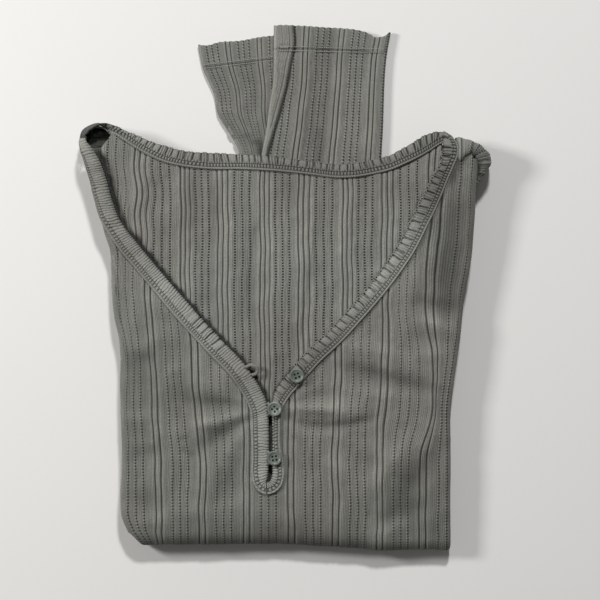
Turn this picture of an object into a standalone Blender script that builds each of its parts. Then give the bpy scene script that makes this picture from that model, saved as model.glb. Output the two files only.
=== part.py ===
"""A rib-knit henley shirt with long sleeves, folded flat.

The sides and sleeves are turned behind the body, the lower half is turned up behind the
upper half, and both sleeve ends stand out above the back neck. X runs across the shirt,
+Y points to the neck and the cuffs, +Z up. The shirt rests on Z = 0.
"""

import math

import bmesh
import bpy
import numpy as np
from mathutils import Matrix, Vector

MM = 0.001

# ---------------------------------------------------------------- driving dimensions
BODY_HEIGHT = 22.0 * MM         # folded stack, top of the front to the table
CLOTH = 1.5 * MM                # wall of the front, the sleeves and the sleeve heads
BACK_CLOTH = 1.2 * MM           # wall of the back, pressed under the front
SEAM_GAP = 0.3 * MM             # clearance at a seam
LAYER_GAP = 0.5 * MM            # clearance between two layers of the stack
HALF_GAP = 2.3 * MM             # from the middle of the stack to each rolled half
TUCK = 3.0 * MM                 # how far a rolled side runs in again under itself
HEM_Y = 75.0 * MM               # hem of the lower half, turned up behind

RIB_RISE = 0.45 * MM            # tallest rib above the plain cloth
RIB_REPEAT = 34.5 * MM          # one repeat of the front's ribs
FIRST_RIB = -135.1 * MM         # first pair of grooves on the front
BACK_RIB_REPEAT = 32.8 * MM
FIRST_BACK_RIB = -115.0 * MM
RIB_END_Y = -100.0 * MM         # below this the back is plain, hidden under the front

SLOT_Y = -156.0 * MM            # lower end of the button slit
SLOT_LEFT = -18.0 * MM          # cut edges of the slit, under the neck band
SLOT_RIGHT = -6.0 * MM
SIDE_REFERENCE = (-128.0 * MM, 129.6 * MM)      # folded sides at the bottom fold
LEFT_CORNER = 10.0 * MM         # rounding of the lower left corner
CORNER_REACH = 18.0 * MM

BAND_LIFT = RIB_RISE + SEAM_GAP + 0.1 * MM
SCALLOP = 7.0 * MM              # pitch of the band's scalloped edge
SCALLOP_REACH = 0.04            # share of the band's width that a scallop stands out
SCALLOP_RISE = 0.35 * MM

BUTTON_HOLE_RADIUS = 0.8 * MM
BUTTON_HOLE_SPREAD = 1.45 * MM
LOOP_CORD = 1.1 * MM            # radius of a loop's cord

SLEEVE_THICKNESS = 6.2 * MM
HEM_DEPTH = 17.5 * MM
HEM_RISE = 0.5 * MM             # the turned hem is this much thicker


def table(names, *rows, plain=()):
    """Columns of a table in millimetres, as arrays in metres; plain columns stay as they are."""
    values = np.array(rows, dtype=float)
    return {name: values[:, i] * (1.0 if name in plain else MM)
            for i, name in enumerate(names.split())}


# Folded sides of the front, from the bottom fold to the shoulders.
BODY = table(
    "y left right",
    (-190, -124.5, 129.9),
    (-178, -127.4, 129.7),
    (-165, -128.2, 129.6),
    (-142, -127.2, 129.9),
    (-120, -127.1, 129.8),
    (-98, -127.9, 129.7),
    (-75, -128.4, 132.0),
    (-50, -128.2, 135.5),
    (-36, -129.6, 137.5),
    (-24, -132.6, 138.6),
    (-8, -134.4, 140.2),
    (17, -135.4, 144.9),
    (30, -136.0, 146.6),
    (44, -140.6, 147.6),
    (62, -144.8, 148.9),
    (78, -148.2, 149.4),
    (96, -152.8, 151.1),
    (108, -156.2, 151.8),
)

# The bottom fold, from the left corner to the right one.
BOTTOM = table(
    "x y",
    (-124, -200.4),
    (-66, -200.1),
    (12, -200.7),
    (42, -202.2),
    (79, -204.6),
    (117, -204.6),
    (129, -205.5),
)

# How far four rib lines lean off the straight: two left of the slit, two right of it.
LEAN = table(
    "y outer_left inner_left inner_right outer_right",
    (-181, 0.7, 0.0, 0.3, -0.9),
    (-125, -1.0, -0.4, 0.3, 0.9),
    (-100, -1.8, -3.0, 1.5, 8.6),
    (-75, -3.3, -5.0, 3.0, 10.2),
    (-50, -5.0, -6.8, 4.0, 8.4),
    (-20, -7.3, -8.9, 5.0, 4.0),
    (20, -8.0, -9.0, 5.5, 5.0),
    (60, -10.0, -9.0, 6.0, 8.0),
    (110, -12.0, -9.0, 8.0, 14.0),
)
LEAN_ACROSS = table("x", (-100.6,), (-66.1,), (71.9,), (106.4,))["x"]

# Where the front is cut for the neck, under the middle of the neck band.
CUT_LEFT = table(
    "y x",
    (-156, -18), (-95, -18), (-86, -21), (-75, -29), (-55, -48), (-30, -70.5), (0, -97),
    (20, -113), (33, -124), (50, -135), (72, -142.5), (90, -147), (110, -152),
)
CUT_RIGHT = table(
    "y x",
    (-156, -6), (-95, -6), (-86, -3), (-75, 4.5), (-55, 22.5), (-40, 38), (-20, 57),
    (0, 73.5), (20, 88), (46, 104), (70, 114.5), (88, 122), (98, 127.5), (116, 130),
)
# Top of the front's right side, under the shoulder fold.
SHOULDER_LINE = 119.8 * MM      # rib line that ends in the valley of that fold
SHOULDER_CUT = table("x y", (125, 113), (131, 107), (135.5, 102), (141, 106.6), (153, 108.4))

# Soft swells of the stack: the shoulders stand highest.
SWELLS = table(
    "x y reach_x reach_y rise",
    (142, 112, 46, 62, 7.5),
    (-152, 112, 44, 60, 4.5),
    (128, -170, 60, 60, -1.8),
    (-20, -60, 60, 70, 0.8),
)

# Largest creases of the front: centre, half length, half width, turn from +X in degrees.
CREASES = table(
    "x y length width turn rise",
    (-44, -97, 26, 9, 20, 1.0),
    (-62, -126, 24, 9, 12, 0.8),
    (33, -88, 34, 9, -8, 1.2),
    (88, -146, 36, 10, 52, 1.4),
    (112, -128, 22, 9, 60, 1.2),
    (96, -52, 26, 9, -24, 0.9),
    plain=("turn",),
)

# Rib relief within one repeat: distance from the first groove, rise.
RIBS = table(
    "x rise",
    (-4.0, 0.0),
    (-1.7, 0.35),
    (0.0, -0.25),
    (2.3, 0.45),
    (4.6, -0.25),
    (6.3, 0.35),
    (9.0, 0.0),
)
PLAIN_RIB = 6                   # the row above that also shapes the inside

# Edges of the back: its folded sides, and its seam with the neck band.
BACK_SIDES = table(
    "y left right",
    (-176, -119, 120), (-70, -119, 122), (0, -125.4, 130.5), (30, -126.4, 134),
    (65, -134.4, 132), (83, -138, 129), (99, -141.4, 126), (112, -142, 122),
)

# The neck band over the back and round the left shoulder. The seam is the edge sewn to the
# back, the free edge is scalloped. Heights are above the table, or 0 to lie on the back.
BAND_BACK = table(
    "seam_x seam_y seam_z free_x free_y free_z",
    (-159.7, 116.0, 16.8, -154.9, 116.5, 29.0),
    (-159.6, 119.5, 16.0, -155.6, 119.6, 29.0),
    (-158.2, 123.8, 15.4, -154.0, 122.6, 28.8),
    (-152.5, 128.0, 15.0, -150.2, 126.0, 28.4),
    (-144.5, 129.8, 15.4, -143.7, 129.4, 27.6),
    (-138.6, 126.2, 17.8, -137.6, 129.7, 26.6),
    (-134.6, 122.8, 21.0, -131.4, 127.6, 26.0),
    (-126.8, 117.2, 0.0, -122.3, 122.9, 0.0),
    (-118.0, 111.2, 0.0, -113.2, 119.2, 0.0),
    (-108.8, 105.8, 0.0, -104.0, 115.2, 0.0),
    (-96.0, 99.8, 0.0, -91.5, 111.4, 0.0),
    (-80.0, 95.9, 0.0, -77.5, 107.8, 0.0),
    (-60.0, 93.7, 0.0, -60.0, 106.6, 0.0),
    (-32.0, 93.4, 0.0, -33.0, 105.2, 0.0),
    (-5.0, 91.9, 0.0, -5.0, 103.2, 0.0),
    (20.0, 89.3, 0.0, 19.5, 99.9, 0.0),
    (43.0, 86.8, 0.0, 43.0, 97.4, 0.0),
    (56.0, 87.4, 0.0, 55.0, 98.4, 0.0),
    (70.0, 89.8, 0.0, 67.5, 100.8, 0.0),
    (83.0, 92.9, 0.0, 79.5, 103.4, 0.0),
    (95.0, 98.0, 0.0, 91.0, 109.0, 0.0),
    (106.0, 103.2, 0.0, 102.0, 115.5, 0.0),
    (114.0, 107.8, 0.0, 111.0, 120.6, 0.0),
    (121.4, 112.8, 0.0, 121.0, 122.6, 0.0),
)

# The front bands, from the bottom of the slit to the shoulder. Lifts are from where a band
# lies on the front, and the arch carries a band round the rolled side.
BAND_LEFT = table(
    "seam_x seam_y seam_lift free_x free_y free_lift arch",
    (-14.4, -160.3, 0.0, -14.0, -150.8, 0.0, 0),
    (-19.7, -158.0, 0.0, -14.5, -150.0, 0.0, 0),
    (-23.8, -152.8, 0.0, -14.6, -147.5, 0.0, 0),
    (-25.5, -145.0, 0.0, -14.6, -142.0, 0.0, 0),
    (-25.5, -130.0, 0.0, -14.6, -129.0, 0.0, 0),
    (-25.9, -112.0, 0.0, -14.6, -111.0, 0.0, 0),
    (-26.6, -96.0, 0.0, -14.9, -91.5, 0.0, 0),
    (-33.0, -81.5, 0.0, -20.0, -77.0, 0.0, 0),
    (-42.5, -67.5, 0.0, -30.8, -59.6, 0.0, 0),
    (-57.8, -51.5, 0.0, -47.5, -41.5, 0.0, 0),
    (-75.0, -33.0, 0.0, -65.0, -22.8, 0.0, 0),
    (-88.8, -17.3, 0.0, -78.8, -7.3, 0.0, 0),
    (-102.0, -1.2, 0.0, -91.5, 7.2, 0.0, 0),
    (-118.0, 17.9, 0.0, -107.3, 26.0, 0.0, 0),
    (-128.4, 30.2, 0.0, -117.3, 38.3, 0.0, 0),
    (-137.4, 43.5, 0.0, -125.3, 48.5, 0.1, 0.3),
    (-144.6, 56.0, -1.6, -130.8, 58.5, 0.9, 2.4),
    (-148.6, 71.0, -2.8, -135.6, 73.0, 1.4, 3.4),
    (-152.4, 87.0, -3.6, -139.4, 87.5, 2.0, 3.6),
    (-156.0, 101.0, -4.2, -144.6, 101.5, 2.8, 4.2),
    (-158.6, 110.0, -6.2, -150.2, 110.6, 2.6, 4),
    (-159.4, 115.2, -9.8, -154.2, 115.6, 2.0, 3),
)
BAND_RIGHT = table(
    "seam_x seam_y seam_lift free_x free_y free_lift arch",
    (-13.4, -160.3, 0.0, -13.4, -150.8, 0.0, 0),
    (-7.9, -158.8, 0.0, -12.0, -150.6, 0.0, 0),
    (-2.7, -154.2, 0.0, -10.4, -149.0, 0.0, 0),
    (-0.2, -147.0, 0.0, -9.0, -145.0, 0.0, 0),
    (-0.5, -136.0, 0.0, -8.8, -136.0, 0.0, 0),
    (-2.6, -125.0, 0.0, -8.8, -125.0, 0.0, 0),
    (-3.0, -110.0, 0.0, -8.8, -110.0, 0.0, 0),
    (-2.4, -96.0, 0.0, -9.2, -92.5, 0.0, 0),
    (2.8, -85.8, 0.0, -6.8, -79.4, 0.0, 0),
    (11.6, -75.2, 0.0, 2.0, -67.6, 0.0, 0),
    (27.4, -57.5, 0.0, 18.4, -49.2, 0.0, 0),
    (47.2, -38.8, 0.0, 37.4, -31.0, 0.0, 0),
    (60.5, -24.0, 0.0, 50.6, -16.8, 0.0, 0),
    (73.7, -9.0, 0.0, 63.4, -2.2, 0.0, 0),
    (92.2, 14.8, 0.0, 81.4, 21.5, 0.0, 0),
    (101.7, 29.2, 0.0, 90.6, 35.6, 0.0, 0),
    (113.1, 51.9, 0.0, 100.9, 55.9, 0.0, 0),
    (121.0, 68.5, 0.0, 108.9, 72.6, 0.0, 0),
    (128.0, 86.0, 0.0, 117.0, 88.6, 0.0, 0),
    (132.6, 97.0, 0.0, 122.2, 97.6, 0.0, 0),
    (135.8, 105.0, 0.0, 123.6, 105.4, 0.0, 0),
    (135.6, 112.0, -0.6, 123.4, 113.4, -0.1, 0),
    (131.4, 117.3, -2.4, 123.8, 120.6, -1.1, 0),
)

# Cross-section of the band: share of its width from the seam, height over its base.
BAND_PROFILE = table(
    "share height",
    (0.00, 0.9), (0.12, 1.7), (0.38, 1.3), (0.54, 2.8), (0.84, 3.0), (1.00, 1.5),
    (0.94, 0.0), (0.04, 0.0),
    plain=("share",),
)

# Sleeve heads, standing on the table round the shoulders: outer and inner edge, top.
HEAD_LEFT = table(
    "out_x out_y in_x in_y top",
    (-148.4, 77.0, -140.0, 78.0, 9.6),
    (-153.4, 92.0, -145.0, 94.0, 9.8),
    (-156.4, 106.0, -148.4, 107.0, 10.4),
    (-158.4, 116.0, -151.0, 114.0, 13.2),
    (-157.4, 121.8, -152.0, 116.0, 13.4),
    (-152.0, 126.6, -149.5, 119.0, 13.2),
    (-144.4, 128.4, -144.6, 120.4, 13.2),
    (-138.4, 125.2, -140.0, 118.0, 14.6),
)
HEAD_RIGHT = table(
    "out_x out_y in_x in_y top",
    (137.0, 118.2, 136.8, 100.4, 32.8),
    (142.4, 117.0, 141.2, 105.0, 32.8),
    (148.0, 115.2, 146.4, 107.6, 32.4),
    (153.6, 112.2, 150.2, 106.8, 31.4),
    (157.8, 108.4, 152.6, 105.0, 30.0),
    (160.6, 104.6, 154.6, 102.8, 28.6),
    (161.4, 100.2, 155.4, 99.8, 27.2),
    (160.2, 95.8, 155.0, 96.8, 26.0),
    (157.6, 91.8, 153.8, 93.8, 24.8),
    (154.8, 87.6, 152.2, 90.6, 23.4),
)

# Sleeve ends, from the cuff to under the back: left and right edge, underside at each edge.
SLEEVE_LEFT = table(
    "left_x left_y right_x right_y left_base right_base",
    (-68.0, 191.5, 14.0, 202.4, 0.0, 0.0),
    (-64.6, 175.0, 13.0, 184.0, 0.0, 0.0),
    (-55.4, 153.0, 11.0, 158.0, 0.0, 0.0),
    (-52.6, 138.0, 9.0, 140.0, 0.0, 0.0),
    (-44.0, 123.5, 6.0, 124.0, 0.0, 0.0),
    (-36.6, 110.0, 4.0, 108.0, 0.0, 0.0),
    (-35.0, 92.0, 3.0, 90.0, 0.0, 0.0),
)
SLEEVE_RIGHT = table(
    "left_x left_y right_x right_y left_base right_base",
    (-8.4, 205.4, 83.4, 202.0, 7.6, 0.0),
    (-8.8, 185.5, 80.4, 184.9, 7.6, 0.0),
    (-9.6, 160.0, 78.4, 160.0, 7.3, 0.0),
    (-12.4, 143.0, 77.9, 143.0, 7.2, 0.0),
    (-14.2, 128.0, 77.4, 128.0, 7.2, 0.0),
    (-18.0, 106.0, 76.2, 106.0, 7.2, 0.0),
    (-20.0, 90.0, 75.4, 88.0, 7.2, 0.0),
)
SLEEVE_DROOP = table("share fall", (0.0, 0.0), (0.30, 0.0), (0.52, 1.0), (1.0, 1.0),
                     plain=("share", "fall"))

# Rib relief over a sleeve's width: share of the width, rise.
SLEEVE_RIBS = table(
    "share rise",
    (0.045, 0.0), (0.135, 0.0), (0.162, -0.5), (0.19, 0.3), (0.235, 0.35), (0.262, -0.25),
    (0.288, 0.45), (0.31, -0.25), (0.345, 0.35), (0.39, 0.0), (0.505, 0.0), (0.54, 0.35),
    (0.566, -0.25), (0.59, 0.45), (0.614, -0.25), (0.645, 0.35), (0.69, 0.0), (0.81, 0.0),
    (0.845, 0.35), (0.87, -0.25), (0.892, 0.45), (0.914, -0.25), (0.96, 0.2),
    plain=("share",),
)
SLEEVE_PLAIN = (0, 1, 10, 17, 22)       # relief points that also shape the inside

# Shoulder edges of the hidden layers: the lower layers, and the upper ones that leave the
# hollow of the left shoulder open and lie beside the front's rolled side on the right.
LAYERS_LEFT = table(
    "low_x low_y high_x high_y",
    (-147.4, 92.0, -140.0, 90.0),
    (-152.4, 106.0, -142.0, 102.0),
    (-153.4, 116.0, -141.6, 110.0),
    (-149.4, 122.2, -139.0, 115.6),
    (-143.4, 123.6, -135.4, 118.2),
)
LAYERS_BACK = table(
    "x y",
    (-126, 115), (-112, 108), (-95, 101.6), (-76, 98.2), (-52, 97.2), (-42, 97.2),
    (-40, 97), (-10, 94.4), (20, 91.6), (43, 89.6), (62, 91), (79, 94.4),
    (81, 95.2), (95, 101.8), (110, 110.2),
)
LAYERS_RIGHT = table(
    "low_x low_y high_x high_y beside",
    (124.0, 113.4, 122.0, 111.0, 0),
    (137.0, 114.4, 128.0, 108.0, 0),
    (147.0, 111.6, 135.0, 98.0, 0),
    (153.4, 107.0, 146.5, 99.0, 1),
    (157.4, 101.0, 147.0, 92.0, 1),
    (156.0, 95.2, 146.6, 86.0, 1),
    (148.0, 85.0, 145.4, 81.0, 1),
)
MOUTH = (-41.0 * MM, 80.0 * MM)         # where the sleeves run in under the back
MOUTH_DEPTH = 20.0 * MM

# Edge of the hidden layers from the table up: height from the low face, the middle or the
# top of the stack, and how far that ring stands in. A web stands in past a rolled side.
WEB = None
LAYER_RINGS = (
    ("low", 0.0, 2.5), ("low", 2.5, 0.3), ("middle", -4.2, 2.5), ("middle", -4.2, WEB),
    ("middle", -1.2, WEB), ("middle", -1.2, -0.2), ("middle", 1.2, -0.2),
    ("middle", 1.2, WEB), ("middle", 4.6, WEB), ("middle", 4.6, 3.6), ("top", 0.0, 3.0),
)
FIRST_HIGH_RING = 7
FIRST_UPPER_RING = 9
LOOSE_SHARE = 0.3               # the shoulders' layers stand in by this share of a ring
LOOSE_WEB = 2.0 * MM
WEB_GAP = 1.4 * MM               # from a rolled side's tucked edge to the web

# Where the buttons sit: place, height over the front, tilt about X and Y in degrees.
BUTTONS = table(
    "x y lift tilt_x tilt_y",
    (9.6, -67.2, 4.5, 0, 4),
    (-7.8, -93.4, 5.0, -4, 10),
    (-7.9, -131.4, 4.6, 0, 4),
    plain=("tilt_x", "tilt_y"),
)

# Centre lines of the loops' cord, from the band's edge and back, heights over the front.
LOOP_1 = table(
    "x y lift",
    (-29.0, -60.0, 1.8), (-26.0, -59.2, 2.4), (-23.2, -60.6, 2.8), (-21.9, -62.6, 2.8),
    (-22.4, -64.6, 2.4), (-25.4, -66.4, 1.8),
)
LOOP_2 = table(
    "x y lift",
    (-13.6, -88.4, 1.7), (-11.2, -90.4, 1.7), (-10.9, -93.4, 1.7), (-11.2, -96.4, 1.7),
    (-13.6, -98.4, 1.7),
)
LOOP_3 = table(
    "x y lift",
    (-13.6, -126.4, 1.7), (-11.2, -128.4, 1.7), (-10.9, -131.4, 1.7), (-11.2, -134.4, 1.7),
    (-13.6, -136.4, 1.7),
)
LOOP_SIDES = 6
LOOP_STATIONS = 11

CLOTH_COLOUR = (0.165, 0.168, 0.148)
BACK_COLOUR = (0.205, 0.208, 0.188)
BAND_COLOUR = (0.185, 0.188, 0.168)
BUTTON_COLOUR = (0.13, 0.16, 0.14)
SHADE_COLOUR = (0.105, 0.103, 0.092)


# ---------------------------------------------------------------- curves and heights
def through(at, xs, ys):
    """Value at each point of `at` of the smooth curve through (xs, ys)."""
    at = np.clip(at, xs[0], xs[-1])
    slopes = np.gradient(ys, xs)
    i = np.clip(np.searchsorted(xs, at, side="right") - 1, 0, len(xs) - 2)
    step = xs[i + 1] - xs[i]
    t = (at - xs[i]) / step
    rise_in = t * (1 - t) ** 2 * step * slopes[i]
    rise_out = t * t * (t - 1) * step * slopes[i + 1]
    return ys[i] * (1 + 2 * t) * (1 - t) ** 2 + rise_in + ys[i + 1] * t * t * (3 - 2 * t) + rise_out


def smooth_rail(columns, count):
    """Points at even distances on the smooth curve through the rows of `columns`."""
    rows = np.stack(columns, axis=1)
    steps = np.linalg.norm(np.diff(rows[:, :2], axis=0), axis=1)
    knots = np.concatenate(([0.0], np.cumsum(steps)))
    at = np.linspace(0.0, knots[-1], count)
    return np.stack([through(at, knots, column) for column in rows.T], axis=1)


def top_height(x, y):
    """Height of the stack's plain top face."""
    height = BODY_HEIGHT + 0.0 * (x + y)
    for i in range(len(SWELLS["x"])):
        across = (x - SWELLS["x"][i]) / SWELLS["reach_x"][i]
        along = (y - SWELLS["y"][i]) / SWELLS["reach_y"][i]
        height = height + SWELLS["rise"][i] * np.exp(-across ** 2 - along ** 2)
    return height


def crease_height(x, y):
    """Height that the front's creases add to the plain face."""
    height = 0.0 * (x + y)
    for i in range(len(CREASES["x"])):
        turn = math.radians(CREASES["turn"][i])
        dx = x - CREASES["x"][i]
        dy = y - CREASES["y"][i]
        along = (dx * math.cos(turn) + dy * math.sin(turn)) / CREASES["length"][i]
        across = (dy * math.cos(turn) - dx * math.sin(turn)) / CREASES["width"][i]
        height = height + CREASES["rise"][i] * np.exp(-along ** 2 - across ** 2)
    return height


def bottom_axis(x):
    """Y of the axis that the bottom fold turns about."""
    edge = through(x, BOTTOM["x"], BOTTOM["y"])
    return edge + top_height(x, edge) / 2


def roll_radius(x, y):
    """Radius of a rolled side: half of what one half of the stack leaves it."""
    return (top_height(x, y) / 2 - HALF_GAP) / 2


# Ends of the front's flat width, between its rolled sides.
FLAT_LEFT = SIDE_REFERENCE[0] + roll_radius(*SIDE_REFERENCE)
FLAT_RIGHT = SIDE_REFERENCE[1] - roll_radius(*SIDE_REFERENCE)


def front_x(across, y):
    """X at y of the rib line that leaves the bottom fold at `across`."""
    edges = [through(y, BODY["y"], BODY[side]) for side in ("left", "right")]
    flat = [edges[0] + roll_radius(edges[0], y), edges[1] - roll_radius(edges[1], y)]
    lean = [through(y, LEAN["y"], LEAN[name])
            for name in ("outer_left", "inner_left", "inner_right", "outer_right")]
    stops = (FLAT_LEFT, LEAN_ACROSS[0], LEAN_ACROSS[1], SLOT_LEFT, SLOT_RIGHT,
             LEAN_ACROSS[2], LEAN_ACROSS[3], FLAT_RIGHT)
    shifts = (flat[0] - FLAT_LEFT, lean[0], lean[1], 0.0 * y, 0.0 * y, lean[2], lean[3],
              flat[1] - FLAT_RIGHT)
    x = across + shifts[0]
    for k in range(len(stops) - 1):
        t = np.clip((across - stops[k]) / (stops[k + 1] - stops[k]), 0.0, 1.0)
        x = x + t * (shifts[k + 1] - shifts[k])
    return x


# ---------------------------------------------------------------- meshes
def material(name, colour, roughness):
    surface = bpy.data.materials.new(name)
    surface.use_nodes = True
    shader = surface.node_tree.nodes["Principled BSDF"]
    shader.inputs["Base Color"].default_value = (*colour, 1.0)
    shader.inputs["Roughness"].default_value = roughness
    shader.inputs["Metallic"].default_value = 0.0
    return surface


def finish(name, bm, colour, roughness=0.9, sharp=50.0):
    """Make the object of a closed mesh, faces outwards."""
    bmesh.ops.triangulate(bm, faces=[face for face in bm.faces if len(face.verts) > 4])
    bmesh.ops.recalc_face_normals(bm, faces=bm.faces[:])
    mesh = bpy.data.meshes.new(name)
    bm.to_mesh(mesh)
    bm.free()
    mesh.shade_smooth()
    mesh.set_sharp_from_angle(angle=math.radians(sharp))
    mesh.materials.append(material(name + "_finish", colour, roughness))
    piece = bpy.data.objects.new(name, mesh)
    bpy.context.collection.objects.link(piece)
    return piece


def wall(outer, inner, missing=None, kept=None, closed=False):
    """Closed wall between two grids of points, rows by columns.

    missing(row, column) is true for a cell without cloth, kept holds the columns that the
    inner face keeps, and closed joins the last column to the first.
    """
    rows, columns = outer.shape[:2]
    bm = bmesh.new()
    corners = {}

    def corner(side, i, j):
        key = (side, i, j % columns)
        if key not in corners:
            grid = outer if side == 0 else inner
            corners[key] = bm.verts.new(grid[i, j % columns])
        return corners[key]

    spans = columns if closed else columns - 1
    cells = {(i, j) for i in range(rows - 1) for j in range(spans)
             if missing is None or not missing(i, j)}
    for i, j in sorted(cells):
        ring = ((i, j), (i, j + 1), (i + 1, j + 1), (i + 1, j))
        bm.faces.new([corner(0, *at) for at in ring])
        bm.faces.new([corner(1, *at) for at in reversed(ring)])
        beyond = ((i - 1, j), (i, j + 1), (i + 1, j), (i, j - 1))
        for k, (row, column) in enumerate(beyond):
            if (row, column % columns if closed else column) not in cells:
                a, b = ring[k], ring[(k + 1) % 4]
                bm.faces.new((corner(0, *b), corner(0, *a), corner(1, *a), corner(1, *b)))
    if kept is not None:
        plain = {v for (side, i, j), v in corners.items() if side == 1 and j not in kept}
        level = {v: (i, j) for (side, i, j), v in corners.items() if side == 1}
        lines = []
        for edge in bm.edges:
            a, b = edge.verts
            if a in plain and b in plain and level[a][1] == level[b][1]:
                lines.append(edge)
            elif (a in plain) != (b in plain) and (a not in level or b not in level):
                lines.append(edge)
        bmesh.ops.dissolve_edges(bm, edges=lines, use_verts=True)
    return bm


def rib_columns(first, repeat, low, high):
    """Places of the rib lines between low and high, their rise, and which shape the inside."""
    places, rises, plain = [], [], []
    for n in range(int((high - first) / repeat) + 2):
        for k, (offset, rise) in enumerate(zip(RIBS["x"], RIBS["rise"])):
            place = first + n * repeat + offset
            if low < place < high:
                places.append(place)
                rises.append(rise)
                plain.append(k == PLAIN_RIB)
    return places, rises, plain


# ---------------------------------------------------------------- front
ROLL_ANGLES = (180, 140, 100, 60, 25)
ROLL_TOP = {"left": 108.0 * MM, "right": 102.0 * MM}
LINE_GAP = 1.2 * MM             # least distance between two rib lines
ROWS_ABOVE_SLOT = 12
ROWS_BELOW_SLOT = 2
TURN_ROWS = 6
UNDER_ROWS = (0.06, 0.14, 0.34, 0.55, 0.70, 0.80, 0.88, 1.0)     # shares of the way to the hem
FLAT_SHIFT = 0.001 * MM         # how level a point of the underside is


def front_columns():
    """Columns of the front: (side, rib line or roll angle, rise, shapes the inside)."""
    columns = [("left", None, 0.0, True)]
    columns += [("left", math.radians(angle), 0.0, True) for angle in ROLL_ANGLES]
    places, rises, plain = rib_columns(FIRST_RIB, RIB_REPEAT, FLAT_LEFT + LINE_GAP,
                                       FLAT_RIGHT - LINE_GAP)
    flat = [(place, 0.0, True) for place in (FLAT_LEFT, FLAT_RIGHT, SLOT_LEFT, SLOT_RIGHT,
                                           SHOULDER_LINE)]
    flat += [entry for entry in zip(places, rises, plain)
             if min(abs(entry[0] - SLOT_LEFT), abs(entry[0] - SLOT_RIGHT)) > LINE_GAP]
    columns += [("flat", place, rise, keep) for place, rise, keep in sorted(flat)]
    columns += [("right", math.radians(angle), 0.0, True) for angle in reversed(ROLL_ANGLES)]
    columns += [("right", None, 0.0, True)]
    return columns


def front_top(side, place):
    """Y where a line of the front ends at the neck, or at the shoulder."""
    ys = np.linspace(SLOT_Y, ROLL_TOP.get(side, BODY["y"][-1]), 800)
    xs = section_point(side, place, ys, 0.0)[0]
    if side == "left" or side == "flat" and place <= SLOT_LEFT:
        inside = xs <= through(ys, CUT_LEFT["y"], CUT_LEFT["x"]) + 0.01 * MM
    elif side == "right" or place >= SLOT_RIGHT:
        inside = xs >= through(ys, CUT_RIGHT["y"], CUT_RIGHT["x"]) - 0.01 * MM
        inside &= ys <= through(xs, SHOULDER_CUT["x"], SHOULDER_CUT["y"])
    else:
        return SLOT_Y
    beyond = np.flatnonzero(~inside)
    return ys[beyond[0] - 1] if len(beyond) else ys[-1]


def section_point(side, place, y, inward):
    """Place across and depth below the top face of one point of a cross-section."""
    if side == "flat":
        return front_x(place, y), inward
    sign = 1.0 if side == "left" else -1.0
    edge = through(y, BODY["y"], BODY[side])
    radius = roll_radius(edge, y)
    centre = edge + sign * radius
    if place is None:
        return centre + sign * TUCK, 2 * radius - inward
    return (centre - sign * (radius - inward) * math.sin(place),
            radius - (radius - inward) * math.cos(place))


def front_point(column, row, top_y, inward):
    """One point of the front; inward is the depth under its outer face."""
    side, place = column[:2]
    kind, share = row
    if kind in ("flap", "below"):
        axis = bottom_axis(section_point(side, place, BODY["y"][0], inward)[0])
        y = (top_y + (SLOT_Y - top_y) * share if kind == "flap"
             else SLOT_Y + (axis - SLOT_Y) * share)
        x, depth = section_point(side, place, y, inward)
        return x, y, top_height(x, y) + crease_height(x, y) - depth
    x, depth = section_point(side, place, BODY["y"][0], inward)
    axis = bottom_axis(x)
    radius = top_height(x, through(x, BOTTOM["x"], BOTTOM["y"])) / 2
    if kind == "turn":
        turn = math.pi * share
        corner = math.exp(-((x - BODY["left"][0]) / CORNER_REACH) ** 2) * math.sin(turn)
        return (x + LEFT_CORNER * corner, axis - (radius - depth) * math.sin(turn),
                radius + (radius - depth) * math.cos(turn))
    y = axis + (HEM_Y - axis) * share
    x, depth = section_point(side, place, y, inward)
    return x, y, depth


def make_front():
    columns = front_columns()
    rows = [("flap", i / ROWS_ABOVE_SLOT) for i in range(ROWS_ABOVE_SLOT + 1)]
    rows += [("below", (i + 1) / ROWS_BELOW_SLOT) for i in range(ROWS_BELOW_SLOT - 1)]
    rows += [("turn", i / TURN_ROWS) for i in range(TURN_ROWS + 1)]
    rows += [("under", share) for share in UNDER_ROWS]
    outer = np.zeros((len(rows), len(columns), 3))
    inner = np.zeros_like(outer)
    for j, column in enumerate(columns):
        side, place, rise, _ = column
        shown = side == "flat" or place is not None and place <= math.pi / 2
        top_y = front_top(side, place) if shown else ROLL_TOP[side]
        for i, row in enumerate(rows):
            fade = 0.0 if row[0] == "under" else 1.0
            if row[0] == "turn":
                fade = max(0.0, 1.0 - 1.6 * row[1])
            outer[i, j] = front_point(column, row, top_y, -rise * fade)
            inner[i, j] = front_point(column, row, top_y, CLOTH)
    places = [column[1] if column[0] == "flat" else None for column in columns]
    slot = range(places.index(SLOT_LEFT), places.index(SLOT_RIGHT))
    bm = wall(outer, inner, missing=lambda i, j: i < ROWS_ABOVE_SLOT and j in slot,
              kept={j for j, column in enumerate(columns) if column[3]})
    for level in (0.0, CLOTH):
        flat = [v for v in bm.verts if abs(v.co.z - level) < FLAT_SHIFT]
        inside = set(flat)
        bmesh.ops.dissolve_limit(bm, angle_limit=math.radians(1.0), verts=flat,
                                 edges=[e for e in bm.edges if inside.issuperset(e.verts)])
    return finish("front_panel", bm, CLOTH_COLOUR, sharp=75.0)


# ---------------------------------------------------------------- back
BACK_DEPTH = CLOTH + 2 * LAYER_GAP      # plain face of the back under the stack's top
BACK_ROWS = 8
BACK_UNDER_BAND = 6.0 * MM      # how far the back runs on under the band
BACK_CORNER = (-127.0 * MM, -116.0 * MM)     # where that fades out, at the left shoulder


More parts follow.
